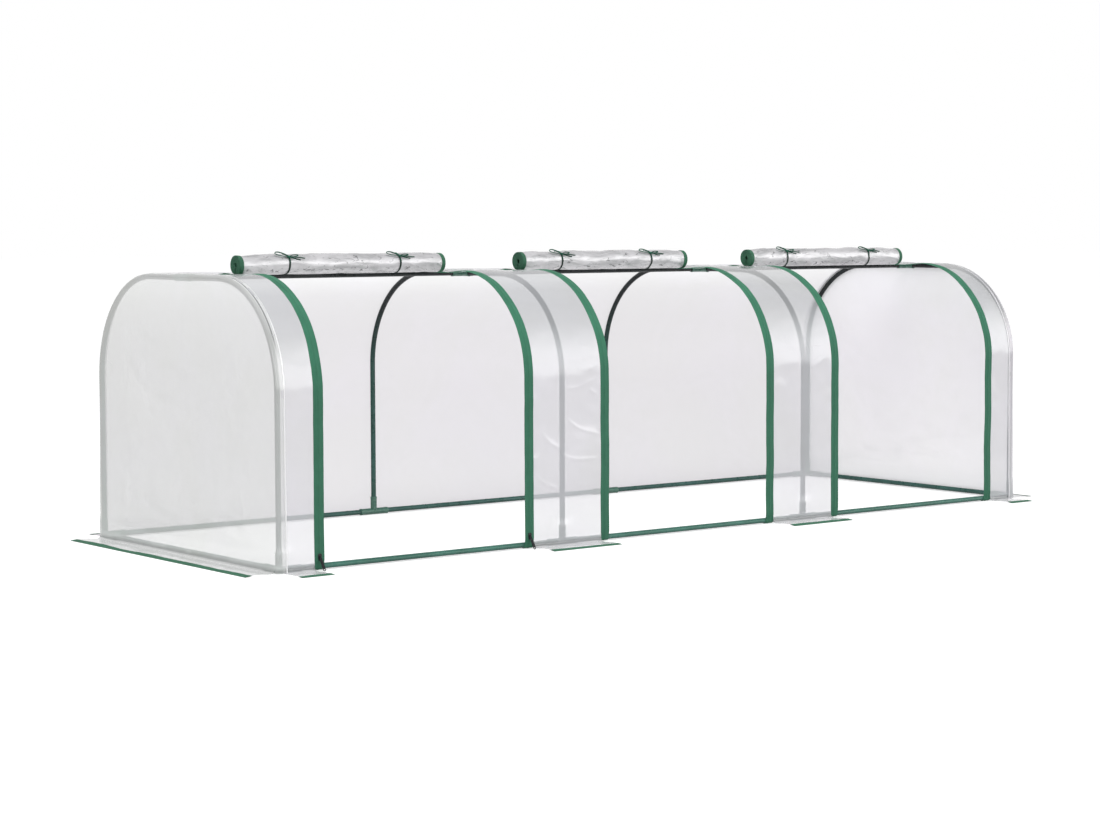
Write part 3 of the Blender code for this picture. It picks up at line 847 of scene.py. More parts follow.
class Ripples:
    """Repeatable waves over a sheet: a sum of sines that run in many directions."""

    def __init__(self, seed: int, wavelength: float, waves: int = 16, stretch: float = 1.0) -> None:
        """Choose the waves.

        Args:
            seed: Which set of waves.
            wavelength: Their usual length in metres.
            waves: How many there are.
            stretch: How much longer they are along the second coordinate.
        """
        pick = np.random.default_rng(seed)
        angle = pick.uniform(0, TURN, waves)
        length = wavelength * pick.uniform(0.55, 1.7, waves)
        self.first = TURN * np.cos(angle) / length
        self.second = TURN * np.sin(angle) / length / stretch
        self.phase = pick.uniform(0, TURN, waves)
        self.weight = pick.uniform(0.5, 1.0, waves)
        self.weight = self.weight / math.sqrt(float((self.weight ** 2).sum()) / 2)

    def __call__(self, first: Array, second: Array) -> Array:
        """Heights, mostly between -2 and 2, at the given places."""
        turn = np.multiply.outer(first, self.first) + np.multiply.outer(second, self.second)
        return (np.sin(turn + self.phase) * self.weight).sum(axis=-1)


def in_scene(name: str, data: bpy.types.ID, place: Matrix = Matrix.Identity(4)) -> Piece:
    """Put something in the scene.

    Args:
        name: What it is called.
        data: Its mesh, lamp or camera.
        place: Where it stands.

    Returns:
        The object.
    """
    item = bpy.data.objects.new(name, data)
    bpy.context.scene.collection.objects.link(item)
    item.matrix_world = place
    return item


def settle(name: str, mesh: Mesh, material: Material, slot: Slot, body: str = "frame",
           stands_for: str | None = None) -> Piece:
    """Put a finished piece in the scene and on its body.

    Args:
        name: The piece's name.
        mesh: Its mesh, in the frame's metres.
        material: Its finish.
        slot: The record's slot that the finish belongs to; not used.
        body: The body that it moves with.
        stands_for: The frame's node that it is shown instead of.

    Returns:
        The piece.
    """
    piece = in_scene(name, mesh)
    mesh.materials.append(material)
    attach(piece, body)
    if stands_for:
        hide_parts(stands_for)
    LOG.info("%s: %d faces", name, len(mesh.polygons))
    return piece


# The frame's sizes


def middle(node: str) -> Vector:
    """The middle of a node's box."""
    low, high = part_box(node)
    return (low + high) / 2


@dataclass(frozen=True)
class Layout:
    """Where the frame's parts are, and the sizes that they share."""

    hoop_x: tuple[float, ...]
    half_width: float
    base_z: float
    ridge_z: float
    tube_radius: float
    connector_radius: float
    skirt_edge: float
    band_x: tuple[Pair, ...]
    bend_radius: float = 0.305
    cover_offset: float = 0.0114
    end_inset: float = 0.006
    foot_radius: float = 0.010
    skirt_z: float = 0.0009
    skirt_rise: float = 0.0018
    skirt_inset: float = 0.0007
    roll_dip: float = 0.0075
    band_width: float = 0.033
    band_overlap: float = 0.001
    ridge_seam: float = 0.014
    corner_arm: float = 0.070
    tee_arm: float = 0.053
    leg_arm: float = 0.048
    crown_arm: float = 0.040

    @classmethod
    def measured(cls) -> Layout:
        """Read the sizes from the frame's nodes.

        Returns:
            The layout of this frame.
        """
        low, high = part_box("ridge_tube_1")
        hub_low, hub_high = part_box("crown_cross_2")
        rail = middle("base_rail_front_1")
        return cls(
            hoop_x=tuple(middle(f"half_hoop_front_{hoop}").x for hoop in (1, 2, 3, 4)),
            half_width=-rail.y,
            base_z=rail.z,
            ridge_z=(low.z + high.z) / 2,
            tube_radius=(high.z - low.z) / 2,
            connector_radius=(hub_high.z - hub_low.z) / 2,
            skirt_edge=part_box("rear_film")[1].y,
            band_x=tuple(tuple(middle(f"zip_band_{door}_{end.word}").x for end in End) for door in (1, 2, 3)),
        )

    @property
    def half_length(self) -> float:
        """From the middle of the tunnel to an end hoop."""
        return self.hoop_x[-1]

    @property
    def panel_x(self) -> tuple[Pair, ...]:
        """Work out where the front panels of film are.

        Returns:
            Where each starts and ends.
        """
        reach = self.band_width / 2 - self.band_overlap
        edges = [-self.half_length + self.end_inset]
        for left, right in self.band_x:
            edges += [left - reach, right + reach]
        edges.append(self.half_length - self.end_inset)
        return tuple(zip(edges[0::2], edges[1::2]))

    def on_ground(self, x: float, side: Side) -> Vector:
        """The centre of a base connector."""
        return Vector((x, side.value * self.half_width, self.base_z))

    def on_ridge(self, x: float) -> Vector:
        """The centre of a ridge connector."""
        return Vector((x, 0.0, self.ridge_z))

    def skirt_lift(self, broad: Array, fine: Array, along: Array) -> Array:
        """Work out how far a skirt is off the ground where it is free.

        Args:
            broad: Its broad waves.
            fine: Its fine waves.
            along: Slow beats along it.

        Returns:
            The heights.
        """
        return np.maximum(0.0007 * broad + 0.0002 * fine, 0.0) + self.skirt_rise * (0.7 + 0.3 * np.sin(along))

    def skirt_free(self, from_edge: Array) -> Array:
        """How free a skirt is to lift near its outer edge, which its hem weighs down."""
        return smooth_step(from_edge, -0.002, 0.026)


@dataclass(frozen=True)
class SectionPath:
    """The cover's section down one side: roof, bend, wall, foot and skirt, in metres of film."""

    layout: Layout
    offset: float = 0.0

    @property
    def roof(self) -> float:
        """Flat length from the ridge to the bend."""
        return self.layout.half_width - self.layout.bend_radius

    @property
    def bend_end(self) -> float:
        """Where the bend ends and the wall starts."""
        return self.roof + QUARTER * (self.layout.bend_radius + self.offset)

    @property
    def wall_end(self) -> float:
        """Where the wall starts to turn outward at its foot."""
        return self.down_to(self.layout.foot_radius + self.layout.skirt_z)

    @property
    def foot_end(self) -> float:
        """Where the skirt starts to lie flat."""
        return self.wall_end + QUARTER * self.layout.foot_radius

    @property
    def skirt_end(self) -> float:
        """Where the skirt ends."""
        size = self.layout
        return self.foot_end + size.skirt_edge - size.half_width - self.offset - size.foot_radius - size.skirt_inset

    def down_to(self, height: float) -> float:
        """Where the straight wall comes down to a height."""
        return self.bend_end + self.layout.ridge_z - self.layout.bend_radius - height

    def at(self, length: Array) -> tuple[Array, Array, Array, Array]:
        """Find places on the section.

        Args:
            length: Metres of film from the ridge.

        Returns:
            Distance from the middle, height, and the outward direction's two parts.
        """
        size = self.layout
        radius = size.bend_radius + self.offset
        turn = np.clip((length - self.roof) / radius, 0.0, QUARTER)
        distance = np.where(length < self.roof, length, self.roof + radius * np.sin(turn))
        height = size.ridge_z - size.bend_radius + radius * np.cos(turn)
        height = height - np.clip(length - self.bend_end, 0.0, self.wall_end - self.bend_end)
        foot = np.clip((length - self.wall_end) / size.foot_radius, 0.0, QUARTER)
        distance = distance + size.foot_radius * (1 - np.cos(foot)) + np.clip(length - self.foot_end, 0.0, None)
        height = height - size.foot_radius * np.sin(foot)
        lean = turn - foot
        return distance, height, np.sin(lean), np.cos(lean)


@dataclass(frozen=True)
class Cover:
    """The long sides of the film cover as it really hangs: tight on tubes and slack between them."""

    layout: Layout
    side: Side
    slack: float = 0.0065
    tube_play: float = 0.0009
    hug: float = 0.045
    release: float = 0.03
    ridge_reach: float = 0.035
    broad_wave: float = 0.00085
    fine_wave: float = 0.00022
    folds: tuple[Fold, ...] = (
        Fold((-0.485, 0.805), (-0.352, 0.881), 0.0042, 0.0014), Fold((-0.575, 0.846), (-0.500, 0.915), 0.0060, 0.0016),
        Fold((-0.520, 0.905), (-0.350, 0.953), 0.0052, 0.0013), Fold((-0.610, 0.958), (-0.512, 1.036), 0.0055, 0.0014),
        Fold((-0.505, 0.717), (-0.350, 0.703), 0.0060, 0.0009), Fold((-0.492, 0.624), (-0.350, 0.633), 0.0035, 0.0014),
        Fold((-0.450, 0.659), (-0.350, 0.661), 0.0030, 0.0012), Fold((-0.428, 0.583), (-0.388, 0.608), 0.0040, 0.0014),
        Fold((-0.606, 0.928), (-0.580, 0.909), 0.0030, 0.0009), Fold((-0.397, 0.722), (-0.368, 0.750), 0.0090, 0.0011),
        Fold((0.37, 0.590), (0.46, 0.640), 0.0120, 0.0014), Fold((0.50, 0.700), (0.61, 0.655), 0.0110, 0.0010),
        Fold((-1.46, 0.600), (-1.38, 0.640), 0.0100, 0.0010), Fold((1.38, 0.640), (1.45, 0.600), 0.0100, 0.0010),
    )

    @property
    def path(self) -> SectionPath:
        """The section that the film is drawn on."""
        return SectionPath(self.layout, self.layout.cover_offset)

    def walls(self, length: Array, x: Array) -> Array:
        """Work out how far the roof, the bend and the wall lie outside their drawn section.

        Args:
            length: Metres of film from the ridge.
            x: Places along the tunnel.

        Returns:
            The distances, mostly negative: on tubes the film hugs them, and between them it is slack.
        """
        size = self.layout
        hoops = np.array(size.hoop_x)
        bay = np.clip(np.searchsorted(hoops, x) - 1, 0, len(hoops) - 2)
        share = np.clip((x - hoops[bay]) / (hoops[bay + 1] - hoops[bay]), 0.0, 1.0)
        near = np.abs(x[..., None] - hoops).min(axis=-1)
        to_foot = self.path.wall_end - length
        free = smooth_step(length, 0.10, 0.24) * smooth_step(to_foot, 0.0, 0.14)
        close = size.cover_offset - size.tube_radius - self.tube_play
        past_crown = size.crown_arm + self.release
        ridge = -close * np.exp(-(length / self.ridge_reach) ** 2) * smooth_step(near, size.crown_arm, past_crown)
        if self.side is Side.FRONT:
            sag = smooth_step(length, 0.0, 0.085) * (1 - smooth_step(length, 0.10, 0.21))
            ridge = ridge - size.roll_dip * sag * smooth_step(near, 0.015, 0.11)
        clear = smooth_step(length, size.crown_arm, past_crown)
        clear = clear * smooth_step(to_foot, size.leg_arm - 0.01, size.leg_arm + self.release)
        hug = -close * np.exp(-(near / self.hug) ** 2) * clear + ridge
        if self.side is Side.FRONT:
            hug = hug + sum((fold.height * fold.rise(x, length) for fold in self.folds), 0.0 * length)
        seed = self.side.pick(31, 47)
        broad, fine = Ripples(seed, 0.26, stretch=1.5), Ripples(seed + 1, 0.075, stretch=1.3)
        waves = self.broad_wave * broad(length, x) + self.fine_wave * fine(length, x)
        slack = -self.slack * np.sin(math.pi * share) ** 2
        return slack * free + hug + waves * free * (0.25 + 0.75 * smooth_step(near, 0.01, 0.10))

    def skirt(self, length: Array, x: Array) -> Array:
        """Work out how far the skirt lies off the ground.

        Args:
            length: Metres of film from the ridge.
            x: Places along the tunnel.

        Returns:
            The heights.
        """
        path = self.path
        seed = self.side.pick(33, 49)
        broad = Ripples(seed, 0.17, stretch=2.5)(length * 0.6, x) + 1.1
        fine = Ripples(seed + 1, 0.05)(length, x) + 1.0
        lift = self.layout.skirt_lift(broad, fine, x * 19.0 + 1.3 * np.sin(x * 7.0))
        out = smooth_step(length, path.foot_end, path.foot_end + 0.045)
        return lift * (out * self.layout.skirt_free(path.skirt_end - length))

    def place(self, length: Array, x: Array, lift: Array | float = 0.0) -> Array:
        """Find places on the film, or a little outside it.

        Args:
            length: Metres of film from the ridge.
            x: Places along the tunnel, of the same shape.
            lift: How far outside the film.

        Returns:
            The places, with a last dimension of three.
        """
        distance, height, out_y, out_z = self.path.at(length)
        on_wall = length < self.path.wall_end
        reach = np.where(on_wall, self.walls(length, x), self.skirt(length, x)) + lift
        return np.stack([x, (distance + out_y * reach) * self.side.value, height + out_z * reach], axis=-1)


# The steel frame


@dataclass(frozen=True)
class TubeFrame:
    """The bare frame: rails, ridge and bent half hoops, all of one coated tube."""

    layout: Layout
    finish: CoatedSteel = CoatedSteel()
    sides: int = 28
    bend_steps: int = 40
    stop: float = 0.0125
    lead: float = 0.08

    def tube(self, name: str, node: str, path: Array, face: Vector, material: Material) -> None:
        """Build one tube along its middle line.

        Args:
            name: The piece's name.
            node: The node that it stands for.
            path: Points along the middle line.
            face: A direction across the tube's first end.
            material: The tube's finish.
        """
        section = round_section(self.layout.tube_radius, self.sides)
        settle(name, sweep_mesh(name, path, *frames_along(path, face), section), material, Slot.STEEL, stands_for=node)

    def straight(self, name: str, node: str, start: Vector, end: Vector, material: Material) -> None:
        """Build one straight tube between two connectors.

        Args:
            name: The piece's name.
            node: The node that it stands for.
            start: The first connector's centre.
            end: The second connector's centre.
            material: The tube's finish.
        """
        way = (end - start).normalized()
        first, last = start + way * self.stop, end - way * self.stop
        path = np.array([first.lerp(last, share) for share in np.linspace(0, 1, 9)])
        self.tube(name, node, path, Z_AXIS, material)

    def half_hoop(self, side: Side, index: int, material: Material) -> None:
        """Build one bent half hoop from the ridge down to the base rail.

        Args:
            side: The side that it comes down on.
            index: Which hoop, from 0 at the left.
            material: The tube's finish.
        """
        size = self.layout
        path = SectionPath(size)
        foot = path.down_to(size.base_z) - self.stop
        bend = stations((path.roof, path.bend_end, foot), (self.bend_steps + 1, 6))
        distance, height, _, _ = path.at(np.concatenate([[self.stop, self.stop + self.lead], bend]))
        points = np.stack([np.full_like(distance, size.hoop_x[index]), distance * side.value, height], axis=1)
        word = f"{side.word}_{index + 1}"
        self.tube(f"hoop_{word}", f"half_hoop_{word}", points, X_AXIS, material)

    def build(self) -> None:
        """Build and dress every tube."""
        size = self.layout
        material = self.finish.build()
        for bay, (left, right) in enumerate(zip(size.hoop_x, size.hoop_x[1:]), start=1):
            for side in Side:
                word = f"{side.word}_{bay}"
                self.straight(f"rail_{word}", f"base_rail_{word}", size.on_ground(left, side),
                              size.on_ground(right, side), material)
            self.straight(f"ridge_{bay}", f"ridge_tube_{bay}", size.on_ridge(left), size.on_ridge(right), material)
        for end in End:
            x = end.value * size.half_length
            self.straight(f"rail_{end.word}", f"base_rail_{end.word}", size.on_ground(x, Side.FRONT),
                          size.on_ground(x, Side.REAR), material)
        for index in range(len(size.hoop_x)):
            for side in Side:
                self.half_hoop(side, index, material)


@dataclass(frozen=True)
class ConnectorSet:
    """Push-fit connectors: smooth arms from a round hub, each with a collar at its mouth."""

    layout: Layout
    finish: MouldedPlastic = MouldedPlastic()
    sides: int = 32
    collar: float = 0.006
    collar_slope: float = 0.0012
    relief: float = 0.0006
    lip: float = 0.0010
    chamfer: float = 0.0003
    mouth: float = 0.0006
    mouth_depth: float = 0.0008
    play: float = 0.0003
    socket: float = 0.012
    hub_hole: float = 0.0004

    def arm(self, name: str, way: Vector, length: float) -> Mesh:
        """Build one arm as a turned shape.

        Args:
            name: The mesh's name.
            way: The arm's direction.
            length: From the hub's centre to the mouth.

        Returns:
            The arm, open at the hub.
        """
        outer, inner = self.layout.connector_radius, self.layout.tube_radius + self.play
        body = outer - self.relief
        profile = [
            (0.0, self.hub_hole), (0.0, body), (length - self.collar - self.collar_slope, body),
            (length - self.collar, outer), (length - self.lip, outer),
            (length - self.chamfer, outer - self.chamfer), (length, outer - self.lip), (length, inner + self.mouth),
            (length - self.mouth_depth, inner), (length - self.socket, inner),
        ]
        path = np.array([way * station for station, _ in profile])
        side = np.array(X_AXIS if abs(way.x) < 0.5 else Y_AXIS)
        out = np.cross(np.array(way), side)
        sections = np.array([round_section(radius, self.sides) for _, radius in profile])
        return sweep_mesh(name, path, *(np.tile(across, (len(profile), 1)) for across in (side, out)), sections, False)

    def mesh(self, name: str, length: float, ways: Sequence[Vector], leg: bool = True) -> Mesh:
        """Build one connector from its arms.

        Args:
            name: The mesh's name.
            length: The length of its level arms.
            ways: Their directions.
            leg: Whether it has an upright arm as well.

        Returns:
            The mesh, round its hub's centre.
        """
        arms = [(way, length) for way in ways] + [(Z_AXIS, self.layout.leg_arm)] * leg
        bm = joined([self.arm(f"{name}_arm_{index}", *arm) for index, arm in enumerate(arms)])
        hub = bmesh.ops.create_uvsphere(bm, u_segments=self.sides, v_segments=16,
                                        radius=self.layout.connector_radius - self.relief)
        soften(hub["verts"])
        in_order(bm)
        mesh = finished(name, bm)
        mesh.set_sharp_from_angle(angle=math.radians(40.0))
        return mesh

    def put(self, name: str, node: str, mesh: Mesh, spot: Vector, turn: float, material: Material) -> None:
        """Place one connector.

        Args:
            name: The piece's name.
            node: The node that it stands for.
            mesh: The shape, round its hub.
            spot: The hub's centre.
            turn: Degrees about Z.
            material: The plastic.
        """
        own = mesh.copy()
        own.transform(Matrix.Translation(spot) @ Matrix.Rotation(math.radians(turn), 4, "Z"))
        settle(name, own, material, Slot.CONNECTOR, stands_for=node)

    def build(self) -> None:
        """Build and dress every connector."""
        size = self.layout
        material = self.finish.build()
        corner = self.mesh("corner", size.corner_arm, [X_AXIS, Y_AXIS])
        tee = self.mesh("tee", size.tee_arm, [X_AXIS, -X_AXIS])
        cross = self.mesh("cross", size.crown_arm, [X_AXIS, -X_AXIS, Y_AXIS, -Y_AXIS], leg=False)
        crown = self.mesh("crown", size.crown_arm, [X_AXIS, Y_AXIS, -Y_AXIS], leg=False)
        for side, end, turn in ((Side.FRONT, End.LEFT, 0.0), (Side.FRONT, End.RIGHT, 90.0),
                                (Side.REAR, End.RIGHT, 180.0), (Side.REAR, End.LEFT, 270.0)):
            word = f"{side.word}_{end.word}"
            spot = size.on_ground(end.value * size.half_length, side)
            self.put(f"elbow_{word}", f"corner_{word}", corner, spot, turn, material)
        for hoop, x in enumerate(size.hoop_x[1:-1], start=2):
            for side in Side:
                word = f"{side.word}_{hoop}"
                self.put(f"tee_{word}", f"base_tee_{word}", tee, size.on_ground(x, side), 0.0, material)
            self.put(f"cross_{hoop}", f"crown_cross_{hoop}", cross, size.on_ridge(x), 0.0, material)
        for end, turn in ((End.LEFT, 0.0), (End.RIGHT, 180.0)):
            spot = size.on_ridge(end.value * size.half_length)
            self.put(f"crown_{end.word}", f"crown_tee_{end.word}", crown, spot, turn, material)


# The clear cover


@dataclass(frozen=True)
class EndWall:
    """One end sheet: a wall that wraps round the end hoop to a welt on the roof, and a skirt."""

    layout: Layout
    end: End
    wrap: float = 0.018
    sag: float = 0.0085
    columns: int = 184
    rows: int = 58
    tube_play: float = 0.0010
    over_connector: float = 0.0025
    foot_slack: float = 0.0035
    flare: float = 0.014
    broad_wave: float = 0.0016
    fine_wave: float = 0.0006
    folds: tuple[Fold, ...] = (
        Fold((0.36, 0.56), (-0.10, 0.36), 0.009, 0.0035), Fold((0.44, 0.62), (0.20, 0.66), 0.007, 0.0025),
        Fold((0.30, 0.20), (0.02, 0.05), 0.008, 0.0022), Fold((-0.20, 0.16), (-0.44, 0.04), 0.007, 0.0022),
        Fold((0.42, 0.40), (0.28, 0.70), 0.006, 0.0020),
    )

    @property
    def path(self) -> SectionPath:
        """The end hoop's centre line."""
        return SectionPath(self.layout)

    @property
    def bend_count(self) -> int:
        """How many columns there are on each bend."""
        return self.columns // 2 - 8

    def ripples(self, seeds: tuple[int, int], broad: float, fine: float) -> tuple[Ripples, Ripples]:
        """Choose broad and fine waves, which differ between the two ends.

        Args:
            seeds: The set of waves of the left end and of the right one.
            broad: The broad waves' length.
            fine: The fine waves' length.

        Returns:
            Both sets of waves.
        """
        seed = self.end.pick(*seeds)
        return Ripples(seed, broad), Ripples(seed + 1, fine)

    def outline(self) -> tuple[Array, Array]:
        """Find stations along the end hoop's centre line, from the front foot over to the rear one.

        Returns:
            Signed distance from the middle and height of each station's wall edge.
        """
        path = self.path
        distance, height, _, _ = path.at(stations((0.0, path.roof, path.bend_end), (9, self.bend_count)))
        return np.concatenate([-distance[::-1], distance[1:]]), np.concatenate([height[::-1], height[1:]])

    def free(self, y: Array, z: Array) -> Array:
        """Work out how free the wall is to sag.

        Args:
            y: Places across the tunnel.
            z: Their heights.

        Returns:
            0 on the hoop and the rail, and 1 well inside them.
        """
        size = self.layout
        bend_z = size.ridge_z - size.bend_radius
        over = np.hypot(np.clip(np.abs(y) - self.path.roof, 0, None), np.clip(z - bend_z, 0, None))
        inside = np.where(z > bend_z, size.bend_radius - over, size.half_width - np.abs(y))
        return smooth_step(inside, 0.010, 0.20) * smooth_step(z, 0.02, 0.16)

    def stand_off(self, z: Array, crown: Array) -> Array:
        """Work out how far the sheet is from the hoop's centre line.

        Args:
            z: Heights on it.
            crown: How far each place is on the ridge connector, from 0 to 1.

        Returns:
            The distances: close on the tube, further over connectors.
        """
        size = self.layout
        leg = size.base_z + size.leg_arm
        foot = 1 - smooth_step(z, leg - 0.008, leg + 0.02)
        slack = self.foot_slack * (1 - smooth_step(z, 0.10, 0.40))
        return size.tube_radius + self.tube_play + self.over_connector * np.maximum(foot, crown) + slack

    def wall_off(self, z: Array) -> Array:
        """How far the flat wall stands outside the hoop's centre line."""
        return self.stand_off(z, smooth_step(z, self.layout.ridge_z - 0.002, self.layout.ridge_z))

    def wall(self) -> tuple[Array, Array]:
        """Shape the flat part, as a grid of columns from the foot up to the hoop.

        Returns:
            The places and the flat cloth's metres.
        """
        size = self.layout
        edge_y, edge_z = self.outline()
        foot = size.foot_radius + size.skirt_z
        z = foot + np.linspace(0.0, 1.0, self.rows)[:, None] * (edge_z - foot)
        y = np.broadcast_to(edge_y, z.shape)
        broad, fine = self.ripples((71, 83), 0.30, 0.085)
        free = self.free(y, z)
        waves = self.broad_wave * broad(y, z) + self.fine_wave * fine(y, z)
        drop = -self.sag * free + waves * (0.06 + free)
        for fold in self.folds:
            drop = drop + fold.height * fold.rise(y, z) * free
        x = self.end.value * (size.half_length + self.wall_off(z) + drop)
        return np.stack([x, y, z], axis=-1), np.stack([y, z], axis=-1)

    def skirt(self) -> tuple[Array, Array]:
        """Shape the skirt that turns outward along the wall's foot.

        Returns:
            The places and the flat cloth's metres.
        """
        size = self.layout
        edge_y, _ = self.outline()
        start = size.half_length + float(self.wall_off(np.array(0.0)))
        flat = np.linspace(0.0, 1.0, 12)[1:]
        turn = np.linspace(0.0, QUARTER, 5)
        reach = size.skirt_edge + size.half_length - size.half_width - start - size.foot_radius - size.skirt_inset
        out = np.concatenate([size.foot_radius * (1 - np.cos(turn)), size.foot_radius + reach * flat])
        up = np.concatenate([size.foot_radius * (1 - np.sin(turn)), np.zeros(len(flat))]) + size.skirt_z
        out, y = crossed(out, edge_y)
        broad, fine = self.ripples((91, 97), 0.22, 0.06)
        lift = size.skirt_lift(broad(out, y) + 1.3, fine(out, y) + 1.0, y * 17.0 + 1.5 * np.sin(y * 6.0))
        lift = lift * smooth_step(out, size.foot_radius, 0.05) * size.skirt_free(size.foot_radius + reach - out)
        flare = 1 + self.flare * smooth_step(out, 0.0, 0.09)
        points = np.stack([self.end.value * (start + out), y * flare, up[:, None] + lift], axis=-1)
        return points, np.stack([y, -out], axis=-1)

    def hem_edges(self) -> tuple[Array, Array]:
        """Find points along the skirt, on its outer edge and where its hem tape ends.

        Returns:
            The outer and the inner points.
        """
        points, _ = self.skirt()
        out = np.abs(points[:, 0, 0])
        return points[-1], points[int(np.argmin(np.abs(out[-1] - out - HemTape.width)))]

    def flange(self) -> tuple[Array, Array]:
        """Shape the sheet's wrap round the hoop, which ends in a raised welt on the roof and walls.

        Returns:
            The places and the flat cloth's metres.
        """
        size, path = self.layout, self.path
        half = stations((0.0, path.roof, path.bend_end, path.down_to(size.skirt_z + 0.001)), (9, self.bend_count, 34))
        length = np.concatenate([half[::-1], half[1:]])
        sign = np.concatenate([-np.ones(len(half)), np.ones(len(half) - 1)])
        distance, height, out_y, out_z = path.at(np.minimum(length, path.bend_end))
        height = height - np.clip(length - path.bend_end, 0.0, None)
        crown = 1 - smooth_step(length, size.crown_arm - 0.005, size.crown_arm + 0.03)
        radius = self.stand_off(height, crown)
        round_edge = [(radius * math.cos(turn), radius * math.sin(turn)) for turn in np.linspace(0.0, QUARTER, 7)]
        welt = [(np.full_like(radius, inward), radius + rise) for inward, rise in (
            (-0.006, 0.0), (self.wrap * -0.83, 0.0002), (self.wrap * -0.87, 0.0012), (self.wrap * -0.93, 0.0016),
            (self.wrap * -0.99, 0.0012), (self.wrap * -1.03, 0.0001))]
        outside, off = (np.stack(part, axis=1) for part in zip(*round_edge, *welt))
        pinch = Ripples(self.end.pick(61, 67), 0.05)(length * sign, length * 0.0)
        off = off + 0.00007 * pinch[:, None] * smooth_step(off, 0.0, 0.008)
        x = self.end.value * (size.half_length + outside)
        y = sign[:, None] * (distance[:, None] + out_y[:, None] * off)
        z = height[:, None] + out_z[:, None] * off
        steps = np.hypot(*(np.diff(part, axis=1, prepend=part[:, :1]) for part in (outside, off)))
        along = np.broadcast_to((length * sign)[:, None], x.shape)
        return np.stack([x, y, z], axis=-1), np.stack([along, np.cumsum(steps, axis=1)], axis=-1)

    def build(self, material: Material) -> Piece:
        """Args:
            material: The film.

        Returns:
            The sheet.
        """
        name, size = f"end_sheet_{self.end.word}", self.layout
        parts = (self.wall(), self.skirt(), self.flange())
        bm = joined([grid_mesh(f"{name}_{index}", *part) for index, part in enumerate(parts)])
        bmesh.ops.remove_doubles(bm, verts=bm.verts, dist=0.00005)
        bmesh.ops.recalc_face_normals(bm, faces=bm.faces)
        area = sum(face.calc_area() for face in bm.faces)
        node = f"end_film_{self.end.word}"
        sheet = settle(name, finished(name, bm), material, Slot.FILM, stands_for=node)
        f"hoop_front_{self.end.pick(1, 4)}"
        return sheet


@dataclass(frozen=True)
class LongFilm:
    """A sheet down one long side, from the ridge to the edge of its skirt."""

    layout: Layout
    side: Side
    name: str
    node: str
    span: Pair
    start: float
    bend_rows: int = 34
    wall_rows: int = 34
    step: float = 0.015

    def build(self, material: Material) -> Piece:
        """Args:
            material: The film.

        Returns:
            The sheet.
        """
        cover = Cover(self.layout, self.side)
        path = cover.path
        width = self.span[1] - self.span[0]
        rows = stations((self.start, path.roof, path.bend_end, path.wall_end, path.foot_end, path.skirt_end),
                        (16, self.bend_rows, self.wall_rows, 6, 10))
        length, x = crossed(rows, np.linspace(*self.span, max(9, round(width / self.step))))
        mesh = grid_mesh(self.name, cover.place(length, x), np.stack([x, length], axis=-1))
        sheet = settle(self.name, mesh, material, Slot.FILM, stands_for=self.node)
        path.skirt_end - self.start
        return sheet


@dataclass(frozen=True)
class HemTape:
    """Tape folded over a skirt's outer edge and stitched down."""

    name: str
    width: float = 0.022
    lift: float = 0.0011
    flatness: float = 0.55
    clearance: float = 0.0003

    def section(self) -> Array:
        """Draw the folded tape: over the film, round its edge and back under it.

        Returns:
            The section's points, as rows of two.
        """
        turn = np.linspace(QUARTER, -QUARTER, 7)
        fold = np.stack([self.lift * (np.cos(turn) - 1), self.lift * self.flatness * np.sin(turn)], axis=1)
        over = np.linspace(-self.width, fold[0, 0], 5)[:-1]
        top = np.stack([over, np.full_like(over, fold[0, 1])], axis=1)
        return np.concatenate([top, fold, top[::-1] * (1, -1)])

    def build(self, edges: tuple[Array, Array], material: Material, on: str) -> Piece:
        """Sew the tape along an edge.

        Args:
            edges: Points along the film's edge, and on the film at the tape's inner edge.
            material: The tape.
            on: The film piece that it is sewn to; not used.

        Returns:
            The tape.
        """
        section = self.section()
        edge, inner = edges
        out = edge - inner
        out = out / np.linalg.norm(out, axis=1, keepdims=True)
        up = np.cross(tangents(edge), out)
        up = up * np.sign(up[:, 2:])
        edge = edge.copy()
        edge[:, 2] = np.maximum(edge[:, 2], self.lift * self.flatness + self.clearance)
        points = edge[:, None] + out[:, None] * section[:, :1] + up[:, None] * section[:, 1:]
        points[..., 2] = np.maximum(points[..., 2], self.clearance)
        along, across = metres_along(edge), metres_along(section)
        mesh = grid_mesh(self.name, points, np.stack(crossed(along, across), axis=-1))
        tape = settle(self.name, mesh, material, Slot.TAPE)
        return tape


